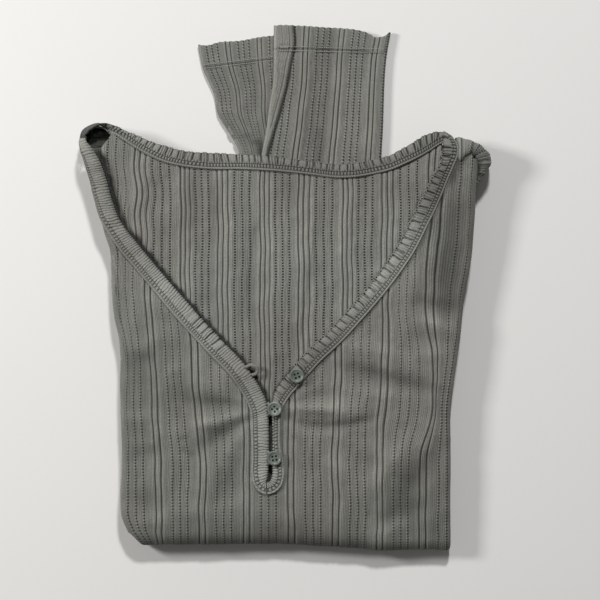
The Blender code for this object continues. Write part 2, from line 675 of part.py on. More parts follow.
def make_back():
    seam = [smooth_rail([BAND_BACK["seam_x"], BAND_BACK["seam_y"]], 60)[:, k] for k in (0, 1)]
    ahead = seam[0] > BACK_SIDES["left"][-1]
    top_x, top_y = seam[0][ahead], seam[1][ahead]
    places, rises, plain = rib_columns(FIRST_BACK_RIB, BACK_RIB_REPEAT,
                                       BACK_SIDES["left"][0], BACK_SIDES["right"][0] + 6 * MM)
    low, high = places[0], places[-1]
    grid = np.zeros((BACK_ROWS + 1, len(places), 3))
    inner = np.zeros_like(grid)
    for j, (place, rise) in enumerate(zip(places, rises)):
        share = (place - low) / (high - low)
        for i in range(BACK_ROWS + 1):
            level = i / BACK_ROWS
            y = BACK_SIDES["y"][0]
            for _ in range(12):
                left = through(y, BACK_SIDES["y"], BACK_SIDES["left"])
                right = through(y, BACK_SIDES["y"], BACK_SIDES["right"])
                pull = (2 * share - 1) ** 2
                straight = place + 0.5 * MM
                edge = left + (right - left) * share
                x = straight + (edge - straight) * pull
                under = (x - BACK_CORNER[0]) / (BACK_CORNER[1] - BACK_CORNER[0])
                top = through(x, top_x, top_y) + BACK_UNDER_BAND * min(max(under, -0.7), 1.0)
                y = BACK_SIDES["y"][0] + (top - BACK_SIDES["y"][0]) * level
            fade = 1.0 if y > RIB_END_Y else 0.0
            plain_top = top_height(x, y) - BACK_DEPTH
            grid[i, j] = x, y, plain_top + rise * fade
            inner[i, j] = x, y, plain_top - BACK_CLOTH
    kept = {j for j, keep in enumerate(plain) if keep} | {0, len(places) - 1}
    return finish("back_panel", wall(grid, inner, kept=kept), BACK_COLOUR)


# ---------------------------------------------------------------- neck bands
def sweep_band(name, seam, free, arch, up, colour):
    """Band between its seam and its free edge, with a scalloped free edge."""
    bm = bmesh.new()
    rings = []
    for i in range(len(seam)):
        ahead = Vector(seam[min(i + 1, len(seam) - 1)]) - Vector(seam[max(i - 1, 0)])
        ahead += Vector(free[min(i + 1, len(free) - 1)]) - Vector(free[max(i - 1, 0)])
        across = Vector(free[i]) - Vector(seam[i])
        normal = across.cross(ahead).normalized() * up
        swing = 1.0 if i % 2 else -1.0
        ring = []
        for share, height in zip(BAND_PROFILE["share"], BAND_PROFILE["height"]):
            reach = share * (1.0 + SCALLOP_REACH * swing * share ** 4)
            lift = height + 4 * share * (1 - share) * arch[i]
            if height > 0.0:
                lift += SCALLOP_RISE * swing * share
            ring.append(bm.verts.new(Vector(seam[i]) + across * reach + normal * lift))
        rings.append(ring)
    count = len(BAND_PROFILE["share"])
    for a, b in zip(rings, rings[1:]):
        for k in range(count):
            bm.faces.new((a[k], a[(k + 1) % count], b[(k + 1) % count], b[k]))
    bm.faces.new(rings[0])
    bm.faces.new(rings[-1][::-1])
    return finish(name, bm, colour)


def band_count(rows):
    """Odd number of stations, two to a scallop, along the free edge of a band."""
    steps = np.hypot(np.diff(rows["free_x"]), np.diff(rows["free_y"]))
    return 2 * int(round(steps.sum() / SCALLOP)) + 1


def make_front_band(name, rows, up):
    names = ("seam_x", "seam_y", "seam_lift", "free_x", "free_y", "free_lift", "arch")
    rail = smooth_rail([rows[n] for n in names], band_count(rows))
    seam, free = rail[:, 0:3].copy(), rail[:, 3:6].copy()
    for edge in (seam, free):
        edge[:, 2] += (top_height(edge[:, 0], edge[:, 1]) + BAND_LIFT
                       + crease_height(edge[:, 0], edge[:, 1]))
    return sweep_band(name, seam, free, np.maximum(rail[:, 6], 0.0), up, BAND_COLOUR)


def make_back_band():
    rows = dict(BAND_BACK)
    for edge in ("seam", "free"):
        lying = top_height(rows[edge + "_x"], rows[edge + "_y"]) - BACK_DEPTH + BAND_LIFT
        rows[edge + "_z"] = np.where(rows[edge + "_z"] > 0.0, rows[edge + "_z"], lying)
    names = ("seam_x", "seam_y", "seam_z", "free_x", "free_y", "free_z")
    rail = smooth_rail([rows[n] for n in names], band_count(rows))
    return sweep_band("neck_band_back", rail[:, 0:3], rail[:, 3:6], np.zeros(len(rail)), -1.0,
                      BAND_COLOUR)


# ---------------------------------------------------------------- sleeves
def inset_line(points, depth):
    """The same open line, moved by `depth` to its right."""
    ahead = np.gradient(points, axis=0)
    ahead /= np.linalg.norm(ahead, axis=1)[:, None]
    return points + depth * np.stack([ahead[:, 1], -ahead[:, 0]], axis=1)


FOLD_DROP = 1.2 * MM             # how far the right shoulder's fold sinks to its edge


def make_head(name, rows, overlap):
    """A sleeve head that stands on the table round a shoulder and folds in over it."""
    names = ("out_x", "out_y", "in_x", "in_y", "top")
    rail = smooth_rail([rows[n] for n in names], 2 * len(rows["top"]))
    outer, inner = [], []
    for out_x, out_y, in_x, in_y, top in rail:
        reach = math.hypot(in_x - out_x, in_y - out_y)
        line = [(6.0 * MM, 0.0), (2.2 * MM, 0.0), (0.9 * MM, 0.12 * top), (0.0, 0.42 * top),
                (0.1 * MM, 0.74 * top)]
        if overlap:
            line += [(0.16 * reach, 0.93 * top), (0.5 * reach, top), (reach, top - FOLD_DROP)]
        else:
            line += [(0.6 * MM, top)]
        line = np.array(line)
        inside = inset_line(line, CLOTH)
        inside[:2, 1] = CLOTH
        for section, grid in ((line, outer), (inside, inner)):
            share = section[:, 0] / reach
            grid.append(np.stack([out_x + (in_x - out_x) * share,
                                  out_y + (in_y - out_y) * share, section[:, 1]], axis=1))
    return finish(name, wall(np.array(outer), np.array(inner)), CLOTH_COLOUR)


def sleeve_ring(left, right, left_base, right_base, hem, inward):
    """Points round a flattened sleeve, over the top from left to right and back below."""
    across = right - left
    width = np.linalg.norm(across)
    radius = SLEEVE_THICKNESS / 2
    points = []

    def add(distance, height):
        share = distance / width
        fall = np.interp(share, SLEEVE_DROOP["share"], SLEEVE_DROOP["fall"])
        base = left_base + (right_base - left_base) * fall
        x, y = left + across * share
        points.append((x, y, base + height))

    for angle in (-60, -20, 20, 60):
        turn = math.radians(angle)
        add(radius - (radius - inward) * math.cos(turn),
            radius + (radius - inward) * math.sin(turn))
    for share, rise in zip(SLEEVE_RIBS["share"], SLEEVE_RIBS["rise"]):
        relief = rise + HEM_RISE * hem if inward == 0.0 else 0.0
        add(share * width, 2 * radius - inward + relief)
    for angle in (60, 20, -20, -60):
        turn = math.radians(angle)
        add(width - radius + (radius - inward) * math.cos(turn),
            radius + (radius - inward) * math.sin(turn))
    for share in (0.93, 0.72, 0.52, 0.40, 0.30, 0.16, 0.06):
        add(share * width, inward)
    return points


def make_sleeve(name, rows):
    names = ("left_x", "left_y", "right_x", "right_y", "left_base", "right_base")
    knots = np.concatenate(([0.0], np.cumsum(np.hypot(np.diff(rows["left_x"]),
                                                      np.diff(rows["left_y"])))))
    stations = np.concatenate(([0.0, 0.5 * HEM_DEPTH, HEM_DEPTH - 0.6 * MM, HEM_DEPTH + 0.6 * MM],
                               np.linspace(HEM_DEPTH, knots[-1], 8)[1:]))
    outer, inner = [], []
    for at in stations:
        left_x, left_y, right_x, right_y, left_base, right_base = (
            through(at, knots, rows[n]) for n in names)
        left, right = np.array((left_x, left_y)), np.array((right_x, right_y))
        hem = 1.0 if at < HEM_DEPTH else 0.0
        outer.append(sleeve_ring(left, right, left_base, right_base, hem, 0.0))
        inner.append(sleeve_ring(left, right, left_base, right_base, hem, CLOTH))
    ribs = len(SLEEVE_RIBS["share"])
    kept = {j for j in range(len(outer[0])) if not 4 <= j < 4 + ribs or j - 4 in SLEEVE_PLAIN}
    return finish(name, wall(np.array(outer), np.array(inner), kept=kept, closed=True),
                  CLOTH_COLOUR)


# ---------------------------------------------------------------- hidden layers
LOW_FACE = CLOTH + LAYER_GAP
TOP_DEPTH = BACK_DEPTH + BACK_CLOTH + 2 * LAYER_GAP
SIDE_CLEAR = CLOTH + LAYER_GAP + 0.6 * MM
SIDE_STEP = 20.0 * MM
SIDE_TOP = 76.0 * MM           # above this the layers follow the shoulders
CAP_STEP = 24.0 * MM
TONGUE_INSET = 9.0 * MM
TONGUE_POINTS = 7


def side_inset(side, y, inset):
    """How far a ring of the hidden layers stands in from a folded side."""
    edge = through(y, BODY["y"], BODY[side])
    if inset is WEB:
        inset = roll_radius(edge, y) + TUCK + WEB_GAP
    else:
        inset = inset * MM + SIDE_CLEAR
    return edge + (inset if side == "left" else -inset)


def layer_outline(inset, high, recess):
    """One ring of the hidden layers, clockwise from the lower left; (x, y, turned) rows."""
    points = []
    start = bottom_axis(0.0) + 1.0 * MM
    sides = np.linspace(start, SIDE_TOP, int((SIDE_TOP - start) / SIDE_STEP))
    left_tip = BODY["left"][0] + LEFT_CORNER + TONGUE_INSET
    right_tip = BODY["right"][0] - TONGUE_INSET
    points.append((left_tip, start - 0.6 * MM, 0.0))
    points += [(side_inset("left", y, inset), y, 0.0) for y in sides]
    level = "high" if high else "low"
    loose = LOOSE_WEB if inset is WEB else LOOSE_SHARE * inset * MM
    for x, y in zip(LAYERS_LEFT[level + "_x"], LAYERS_LEFT[level + "_y"]):
        inward = Vector((-115.0 * MM - x, 80.0 * MM - y)).normalized() * loose
        points.append((x + inward.x, y + inward.y, 0.0))
    for x, y in zip(LAYERS_BACK["x"], LAYERS_BACK["y"]):
        back = MOUTH_DEPTH if recess and MOUTH[0] < x < MOUTH[1] else 0.0
        points.append((x, y - loose - back, 0.0))
    for x, y, beside in zip(LAYERS_RIGHT[level + "_x"], LAYERS_RIGHT[level + "_y"],
                            LAYERS_RIGHT["beside"]):
        if high and beside:
            points.append((side_inset("right", y, inset), y, 0.0))
        else:
            inward = Vector((115.0 * MM - x, 80.0 * MM - y)).normalized() * loose
            points.append((x + inward.x, y + inward.y, 0.0))
    points += [(side_inset("right", y, inset), y, 0.0) for y in sides[::-1]]
    points.append((right_tip, start - 0.6 * MM, 0.0))
    for share in np.linspace(0.0, 1.0, TONGUE_POINTS):
        points.append((right_tip + (left_tip - right_tip) * share, start, 1.0))
    return points


def make_layers():
    bm = bmesh.new()
    rings = []
    for number, (level, shift, inset) in enumerate(LAYER_RINGS):
        ring = []
        high = number >= FIRST_HIGH_RING
        for x, y, turned in layer_outline(inset, high, recess=number < FIRST_UPPER_RING):
            top = top_height(x, y)
            start = {"low": LOW_FACE, "middle": top / 2, "top": top - TOP_DEPTH}[level]
            z = start + shift * MM
            if turned:
                radius = top / 2 - CLOTH - 2 * LAYER_GAP
                y = bottom_axis(x) - math.sqrt(max(radius ** 2 - (z - top / 2) ** 2, 0.0))
            ring.append(bm.verts.new((x, y, z)))
        rings.append(ring)
    for a, b in zip(rings, rings[1:]):
        for k in range(len(a)):
            m = (k + 1) % len(a)
            bm.faces.new((a[k], a[m], b[m], b[k]))
    bm.faces.new(rings[0][::-1])
    cap = [bm.faces.new(rings[-1])]
    cuts = [((x, 0, 0), (1, 0, 0)) for x in np.arange(-126 * MM, 140 * MM, CAP_STEP)]
    cuts += [((0, y, 0), (0, 1, 0)) for y in np.arange(-176 * MM, 110 * MM, CAP_STEP)]
    for place, direction in cuts:
        geometry = cap + list({e for f in cap for e in f.edges}) + list(
            {v for f in cap for v in f.verts})
        split = bmesh.ops.bisect_plane(bm, geom=geometry, plane_co=place, plane_no=direction)
        cap = [g for g in split["geom"] if isinstance(g, bmesh.types.BMFace)]
    rim = set(rings[-1])
    for vert in {v for f in cap for v in f.verts} - rim:
        vert.co.z = top_height(vert.co.x, vert.co.y) - TOP_DEPTH
    return finish("folded_layers", bm, SHADE_COLOUR)


# ---------------------------------------------------------------- buttons and loops
BUTTON_PROFILE = table(
    "radius height",
    (0.0, 0.0), (4.7, 0.0), (5.8, 0.8), (5.7, 1.9), (4.8, 2.3), (3.7, 1.6), (0.0, 1.4),
)


def make_button(name, row):
    bm = bmesh.new()
    last = len(BUTTON_PROFILE["radius"]) - 1
    line = [bm.verts.new((r, 0.0, h))
            for r, h in zip(BUTTON_PROFILE["radius"], BUTTON_PROFILE["height"])]
    edges = [bm.edges.new((line[k], line[k + 1])) for k in range(last)]
    bmesh.ops.spin(bm, geom=line + edges, cent=(0, 0, 0), axis=(0, 0, 1),
                   angle=math.tau, steps=18, use_merge=True)
    bmesh.ops.remove_doubles(bm, verts=bm.verts[:], dist=0.01 * MM)
    button = finish(name, bm, BUTTON_COLOUR, roughness=0.4, sharp=40.0)
    cutter_mesh = bmesh.new()
    for sx in (-1, 1):
        for sy in (-1, 1):
            place = Matrix.Translation((sx * BUTTON_HOLE_SPREAD, sy * BUTTON_HOLE_SPREAD, MM))
            bmesh.ops.create_cone(cutter_mesh, cap_ends=True, segments=6, depth=6 * MM,
                                  radius1=BUTTON_HOLE_RADIUS, radius2=BUTTON_HOLE_RADIUS,
                                  matrix=place)
    cutter = finish(name + "_holes", cutter_mesh, BUTTON_COLOUR)
    cutter.hide_render = True
    cutter.display_type = "WIRE"
    cutter.parent = button
    cut = button.modifiers.new("holes", "BOOLEAN")
    cut.operation = "DIFFERENCE"
    cut.solver = "EXACT"
    cut.object = cutter
    x, y = BUTTONS["x"][row], BUTTONS["y"][row]
    button.location = (x, y, top_height(x, y) + crease_height(x, y) + BUTTONS["lift"][row])
    button.rotation_euler = (math.radians(BUTTONS["tilt_x"][row]),
                             math.radians(BUTTONS["tilt_y"][row]), 0.0)
    return button


def make_loop(name, rows):
    """A loop of cord along the smooth line through its rows."""
    line = smooth_rail([rows[n] for n in ("x", "y", "lift")], LOOP_STATIONS)
    line[:, 2] += top_height(line[:, 0], line[:, 1])
    ahead = np.gradient(line, axis=0)
    bm = bmesh.new()
    rings = []
    for place, course in zip(line, ahead):
        course = Vector(course).normalized()
        aside = course.cross(Vector((0, 0, 1))).normalized()
        upward = aside.cross(course)
        turns = [math.tau * k / LOOP_SIDES for k in range(LOOP_SIDES)]
        rings.append([bm.verts.new(Vector(place) + LOOP_CORD * (
            aside * math.cos(turn) + upward * math.sin(turn))) for turn in turns])
    for a, b in zip(rings, rings[1:]):
        for k in range(LOOP_SIDES):
            bm.faces.new((a[k], a[(k + 1) % LOOP_SIDES], b[(k + 1) % LOOP_SIDES], b[k]))
    bm.faces.new(rings[0])
    bm.faces.new(rings[-1][::-1])
    return finish(name, bm, BAND_COLOUR, sharp=70.0)


def main():
    for item in list(bpy.data.objects):
        bpy.data.objects.remove(item)
    make_front()
    make_back()
    make_front_band("neck_band_left", BAND_LEFT, 1.0)
    make_front_band("neck_band_right", BAND_RIGHT, -1.0)
    make_back_band()
    make_head("sleeve_left_head", HEAD_LEFT, overlap=False)
    make_head("sleeve_right_head", HEAD_RIGHT, overlap=True)
    make_sleeve("sleeve_left", SLEEVE_LEFT)
    make_sleeve("sleeve_right", SLEEVE_RIGHT)
    make_layers()
    for row, loop in enumerate((LOOP_1, LOOP_2, LOOP_3)):
        make_button(f"button_{row + 1}", row)
        make_loop(f"loop_{row + 1}", loop)


main()
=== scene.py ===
"""Looks of a rib-knit henley shirt, folded flat.

Each cloth piece is a thin shell on the form of its solid, with its ribs, creases, seams and
stitches. Sizes are in millimetres up to the moment a mesh is laid out, then in metres.
"""

import math

import bpy
import numpy as np
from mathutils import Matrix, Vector


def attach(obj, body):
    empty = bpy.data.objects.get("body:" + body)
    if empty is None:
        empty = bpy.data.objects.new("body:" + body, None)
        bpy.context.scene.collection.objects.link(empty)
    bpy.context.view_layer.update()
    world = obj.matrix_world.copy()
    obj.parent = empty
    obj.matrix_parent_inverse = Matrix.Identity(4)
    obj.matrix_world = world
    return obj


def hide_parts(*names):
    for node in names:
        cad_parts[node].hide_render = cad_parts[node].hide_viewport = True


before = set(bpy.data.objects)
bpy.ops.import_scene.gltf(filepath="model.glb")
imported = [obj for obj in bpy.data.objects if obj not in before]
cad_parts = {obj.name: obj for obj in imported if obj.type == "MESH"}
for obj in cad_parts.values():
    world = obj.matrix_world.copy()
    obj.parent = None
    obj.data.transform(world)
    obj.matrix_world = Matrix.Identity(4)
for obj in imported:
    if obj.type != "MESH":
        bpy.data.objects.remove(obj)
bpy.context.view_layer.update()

MM = 0.001

# ---------------------------------------------------------------- sizes shared with the solids
BODY_HEIGHT = 22.0              # plain top of the stack
CLOTH = 1.3                     # wall of the sleeves
FRONT_WALL = 1.0                # wall of the front, without its ribs
LAYER_GAP = 0.5                 # clearance between two layers of the stack
HALF_GAP = 2.3                  # from the middle of the stack to each rolled half
TUCK = 3.0                      # how far a rolled side runs in again under itself
HEM_Y = 75.0                    # hem of the lower half, turned up behind
FRONT_CLOTH = 1.5               # wall that the back and the layers leave for the front
BACK_DEPTH = FRONT_CLOTH + 2 * LAYER_GAP

RIB_REPEAT = 34.5               # one repeat of the front's ribs
FIRST_RIB = -135.1              # first pair of grooves on the front
BACK_RIB_REPEAT = 32.8
FIRST_BACK_RIB = -115.0
RIB_END_Y = -100.0              # below this the back is plain, hidden under the front

SLOT_Y = -156.0                 # bottom of the slit
SLOT_LEFT = -18.0
SLOT_RIGHT = -6.0
SIDE_REFERENCE = (-128.0, 129.6)        # folded sides at the bottom fold
LEFT_CORNER = 8.0               # rounding of the lower left corner
CORNER_REACH = 18.0
BAND_LIFT = 0.4                 # gap between a band and the cloth that it lies on


def table(names, *rows):
    """Columns of a table, by name."""
    values = np.array(rows, dtype=float)
    return {name: values[:, i] for i, name in enumerate(names.split())}


# Folded sides of the front, from the bottom fold to the shoulders.
BODY = table(
    "y left right",
    (-190, -122.0, 129.9), (-178, -127.0, 129.7), (-165, -128.2, 129.6), (-142, -127.2, 129.9),
    (-120, -127.1, 129.8), (-98, -127.9, 129.7), (-75, -128.4, 132.0), (-50, -128.2, 135.5),
    (-36, -129.6, 137.5), (-24, -132.6, 138.6), (-8, -134.4, 140.2), (17, -135.4, 144.9),
    (30, -136.0, 146.6), (44, -140.6, 147.6), (62, -144.8, 148.9), (78, -148.2, 149.4),
    (96, -152.8, 151.1), (108, -156.2, 151.8),
)

# The bottom fold, from the left corner to the right one.
BOTTOM = table(
    "x y",
    (-124, -200.4), (-66, -200.1), (12, -200.7), (42, -202.2), (79, -204.6), (117, -204.6),
    (129, -205.5),
)

# How far four rib lines lean off the straight: two left of the slit, two right of it.
LEAN = table(
    "y outer_left inner_left inner_right outer_right",
    (-181, 0.7, 0.0, 0.3, -0.9), (-125, -1.0, -0.4, 0.3, 0.9), (-100, -1.8, -3.0, 1.5, 8.6),
    (-75, -3.3, -5.0, 3.0, 10.2), (-50, -5.0, -6.8, 4.0, 8.4), (-20, -7.3, -8.9, 5.0, 4.0),
    (20, -8.0, -9.0, 5.5, 5.0), (60, -10.0, -9.0, 6.0, 8.0), (110, -12.0, -9.0, 8.0, 14.0),
)
LEAN_ACROSS = (-100.6, -66.1, 71.9, 106.4)

# Where the front is cut for the neck, under the middle of the neck band.
CUT_LEFT = table(
    "y x",
    (-156, -18), (-95, -18), (-86, -21), (-75, -29), (-55, -48), (-30, -70.5), (0, -97),
    (20, -113), (33, -124), (50, -135), (72, -142.5), (90, -147), (110, -152),
)
CUT_RIGHT = table(
    "y x",
    (-156, -6), (-95, -6), (-86, -3), (-75, 4.5), (-55, 22.5), (-40, 38), (-20, 57),
    (0, 73.5), (20, 88), (46, 104), (70, 114.5), (88, 122), (98, 127.5), (116, 130),
)

# Top of the front's right side, under the shoulder fold.
SHOULDER_LINE = 119.8           # rib line that ends in the valley of that fold
SHOULDER_CUT = table("x y", (125, 113), (131, 107), (135.5, 102), (141, 106.6), (153, 108.4))

# Soft swells of the stack: the shoulders stand highest.
SWELLS = table(
    "x y reach_x reach_y rise",
    (142, 112, 46, 62, 7.5), (-152, 112, 44, 60, 4.5), (128, -170, 60, 60, -1.8),
    (-20, -60, 60, 70, 0.8),
)

# Creases that run out from the place where the bands cross: turn from +X and half spread in
# degrees, where each starts, is highest and ends, and its rise, or fall where below zero.
GATHER = (-11.3, -92.4)
FRONT_RAYS = table(
    "turn spread start peak end rise",
    (-0.5, 6.0, 7, 46, 92, 3.4), (15, 4.0, 12, 40, 70, -0.7), (-34, 5.0, 10, 30, 60, 0.7),
    (-51, 4.0, 16, 42, 72, -0.9), (-63, 4.0, 18, 50, 84, -0.8), (-41, 6.0, 26, 72, 112, 1.1),
    (-21, 5.0, 46, 94, 126, 1.2), (194, 4.8, 8, 44, 84, 2.8), (175, 5.8, 10, 46, 92, -2.9),
    (209.5, 4.8, 8, 44, 84, -2.6), (226, 7.0, 10, 48, 96, 1.6), (241, 4.0, 36, 82, 112, -1.0),
    (158, 6.0, 22, 60, 100, 0.7),
)

# Other creases of the front: centre, half length, half width, turn from +X in degrees, how
# far the line bows over its half length, and its rise.
FRONT_CREASES = table(
    "x y length width turn bow rise",
    (38, -107.0, 33, 4.0, 2, 5.4, -2.2),
    (80, -69.5, 42, 5.8, -14, 0.0, -3.0),
    (70, -82, 26, 5.2, -10, 0.0, 1.3),
    (71, -47, 36, 7.0, -14, 0.0, 1.5),
    (118, -12, 18, 4.8, -12, 0.0, -2.2),
    (119, -27, 17, 5.0, -12, 0.0, 2.0),
    (117, -39, 16, 4.5, -8, 0.0, -0.8),
    (121, -50, 12, 4.5, 0, 0.0, 0.8),
    (84, -134, 34, 9.0, 50, 0.0, 1.9),
    (103, -149, 34, 8.6, 54, 0.0, -2.3),
    (98, -172, 22, 7.0, 20, 0.0, -1.5),
    (82, -188, 17, 6.0, 24, 0.0, 1.8),
    (118, -186, 14, 8.0, 40, 0.0, -1.0),
    (-75, -128, 7, 2.3, -32, 0.0, -0.8),
    (-79, -117, 5, 2.0, 20, 0.0, -0.6),
    (-84, -62, 15, 4.2, 22, 0.0, 0.6),
    (-118, -14, 48, 8.5, 87, 0.0, 1.0),
    (-112, -56, 16, 7.0, 20, 0.0, -1.5),
    (-104, -40, 18, 6.0, 26, 0.0, 0.9),
    (-112, -100, 16, 6.0, 8, 0.0, 1.0),
    (-106, -128, 17, 6.0, 12, 0.0, -1.2),
    (-106, -163, 13, 6.0, -12, 0.0, -1.2),
    (-103, -180, 14, 6.0, 12, 0.0, 1.0),
    (-10, -188, 34, 7.0, 0, 0.0, -1.0),
    (-60, -172, 24, 6.0, 8, 0.0, 0.9),
    (0, -205, 150, 15.0, 0, 0.0, -2.4),
    (101, 34, 58, 13.0, 82, 0.0, 1.8),
    (130, 26, 48, 12.0, 84, 0.0, -2.6),
)

# Painted shade where the front is painted darker, and painted light where the depth is below zero.
FRONT_SHADES = table(
    "x y reach_x reach_y depth",
    (128, 12, 18, 38, 0.36), (138, 80, 14, 30, 0.14), (102, -148, 20, 30, 0.16),
    (96, -176, 24, 12, 0.10), (0, -204, 108, 20, 0.30), (88, -192, 16, 8, -0.16),
    (-54, -60, 34, 16, -0.06), (36, -60, 20, 12, -0.06), (-108, -196, 14, 10, -0.08),
    (138.5, 100, 3, 3.4, 0.6), (135.4, 94.5, 2.2, 4, 0.7), (132.4, 88.6, 1.8, 4.4, 0.7),
    (130.2, 83, 1.4, 4, 0.5),
)
# Painted light on a crease for each millimetre of its rise, and painted shade for each of its fall.
SHADE_RISE = 0.14               # how much lighter a crease is for each millimetre of rise
SHADE_LIMITS = (-0.55, 0.65)

# Soft upright folds of the back, seen inside the neck, in the same terms.
BACK_CREASES = table(
    "x y length width turn bow rise",
    (-27, 5, 50, 3.6, 90, -9.0, -1.1),
    (20, 4, 54, 3.4, 81, 0.0, -1.1),
    (-5, 6, 46, 8.5, 86, 0.0, 0.9),
    (-103, 66, 20, 5.5, 84, 0.0, -1.1),
    (-86, 62, 26, 5.0, 88, 0.0, 0.9),
    (-70, 66, 24, 3.6, 92, 0.0, -1.2),
    (-61, 60, 30, 3.6, 90, 0.0, 0.8),
    (-52, 64, 20, 3.6, 96, 0.0, -1.0),
    (-43, 30, 42, 5.0, 92, 0.0, 0.8),
    (86, 74, 16, 4.6, 80, 0.0, -1.2),
    (68, 60, 32, 5.0, 84, 0.0, 1.0),
    (46, 40, 34, 5.0, 82, 1.0, 0.9),
    (-119, 70, 24, 7.0, 78, 0.0, 0.5),
    (9, -36, 14, 4.0, 80, 0.0, -0.7),
)
# Painted light on a crease of the back for each millimetre of rise, and painted shade for each of
# fall.
BACK_SHADE_RISE = 0.15

# Where the back's cloth begins and ends beside the middle: distance out, or x, and y.
BACK_LOW_LEFT = table(
    "out y",
    (118, -176), (121, -60), (125.4, 0), (126.4, 30), (134.4, 65), (138, 83), (141.4, 99),
)
BACK_LOW_RIGHT = table("out y", (119, -176), (122, -70), (130.5, 0), (134, 30))
BACK_HIGH_RIGHT = table("x y", (121, 130), (122, 114), (126, 99), (129, 83), (132, 65))

# The neck band over the back and round the left shoulder. The seam is the edge sewn to the
# back, the free edge is scalloped. Heights are above the table, or 0 to lie on the back.
BAND_BACK = table(
    "seam_x seam_y seam_z free_x free_y free_z",
    (-159.7, 116.0, 16.8, -154.9, 116.5, 29.0), (-159.6, 119.5, 16.0, -155.6, 119.6, 29.0),
    (-158.2, 123.8, 15.4, -154.0, 122.6, 28.8), (-152.5, 128.0, 15.0, -150.2, 126.0, 28.4),
    (-144.5, 129.8, 15.4, -143.7, 129.4, 27.6), (-138.6, 126.2, 17.8, -137.6, 129.7, 26.6),
    (-134.6, 122.8, 21.0, -131.4, 127.6, 26.0), (-126.8, 117.2, 0.0, -122.3, 122.9, 0.0),
    (-118.0, 111.2, 0.0, -113.2, 119.2, 0.0), (-108.8, 105.8, 0.0, -104.0, 115.2, 0.0),
    (-96.0, 99.8, 0.0, -91.5, 111.4, 0.0), (-80.0, 95.9, 0.0, -77.5, 107.8, 0.0),
    (-60.0, 93.7, 0.0, -60.0, 106.6, 0.0), (-32.0, 93.4, 0.0, -33.0, 105.2, 0.0),
    (-5.0, 91.9, 0.0, -5.0, 103.2, 0.0), (20.0, 89.3, 0.0, 19.5, 99.9, 0.0),
    (43.0, 86.8, 0.0, 43.0, 97.4, 0.0), (56.0, 87.4, 0.0, 55.0, 98.4, 0.0),
    (70.0, 89.8, 0.0, 67.5, 100.8, 0.0), (83.0, 92.9, 0.0, 79.5, 103.4, 0.0),
    (95.0, 98.0, 0.0, 91.0, 109.0, 0.0), (106.0, 103.2, 0.0, 102.0, 115.5, 0.0),
    (114.0, 107.8, 0.0, 111.0, 120.6, 0.0), (121.4, 112.8, 0.0, 121.0, 122.6, 0.0),
    (127.0, 115.4, 25.4, 127.4, 121.4, 25.6),
)

# The front bands, from the bottom of the slit to the shoulder. Lifts are from where a band
# lies on the front, and the arch carries a band round the rolled side.
BAND_LEFT = table(
    "seam_x seam_y seam_lift free_x free_y free_lift arch",
    (-14.4, -160.3, 0.0, -14.0, -150.8, 0.0, 0), (-19.7, -158.0, 0.0, -14.5, -150.0, 0.0, 0),
    (-23.8, -152.8, 0.0, -13.9, -147.5, 0.0, 0), (-25.5, -145.0, 0.0, -13.2, -142.0, 0.0, 0),
    (-25.5, -130.0, 0.0, -12.8, -129.0, 0.0, 0), (-25.9, -112.0, 0.0, -12.8, -111.0, 0.0, 0),
    (-26.6, -96.0, 0.0, -13.6, -91.5, 0.0, 0), (-33.0, -81.5, 0.0, -19.4, -77.0, 0.0, 0),
    (-42.5, -67.5, 0.0, -30.8, -59.6, 0.0, 0), (-57.8, -51.5, 0.0, -47.5, -41.5, 0.0, 0),
    (-75.0, -33.0, 0.0, -65.0, -22.8, 0.0, 0), (-88.8, -17.3, 0.0, -78.8, -7.3, 0.0, 0),
    (-102.0, -1.2, 0.0, -91.5, 7.2, 0.0, 0), (-118.0, 17.9, 0.0, -107.3, 26.0, 0.0, 0),
    (-128.4, 30.2, 0.0, -117.3, 38.3, 0.0, 0), (-137.4, 43.5, 0.0, -125.3, 48.5, 0.1, 0.3),
    (-144.6, 56.0, -1.6, -130.8, 58.5, 0.9, 2.4), (-148.6, 71.0, -2.8, -135.6, 73.0, 1.4, 3.4),
    (-152.4, 87.0, -3.6, -139.4, 87.5, 2.0, 3.6), (-156.0, 101.0, -4.2, -144.6, 101.5, 2.8, 4.2),
    (-158.6, 110.0, -6.2, -150.2, 110.6, 2.6, 4), (-159.4, 115.2, -9.8, -154.2, 115.6, 2.0, 3),
    (-159.4, 118.4, -10.8, -155.0, 118.0, 1.8, 2),
)
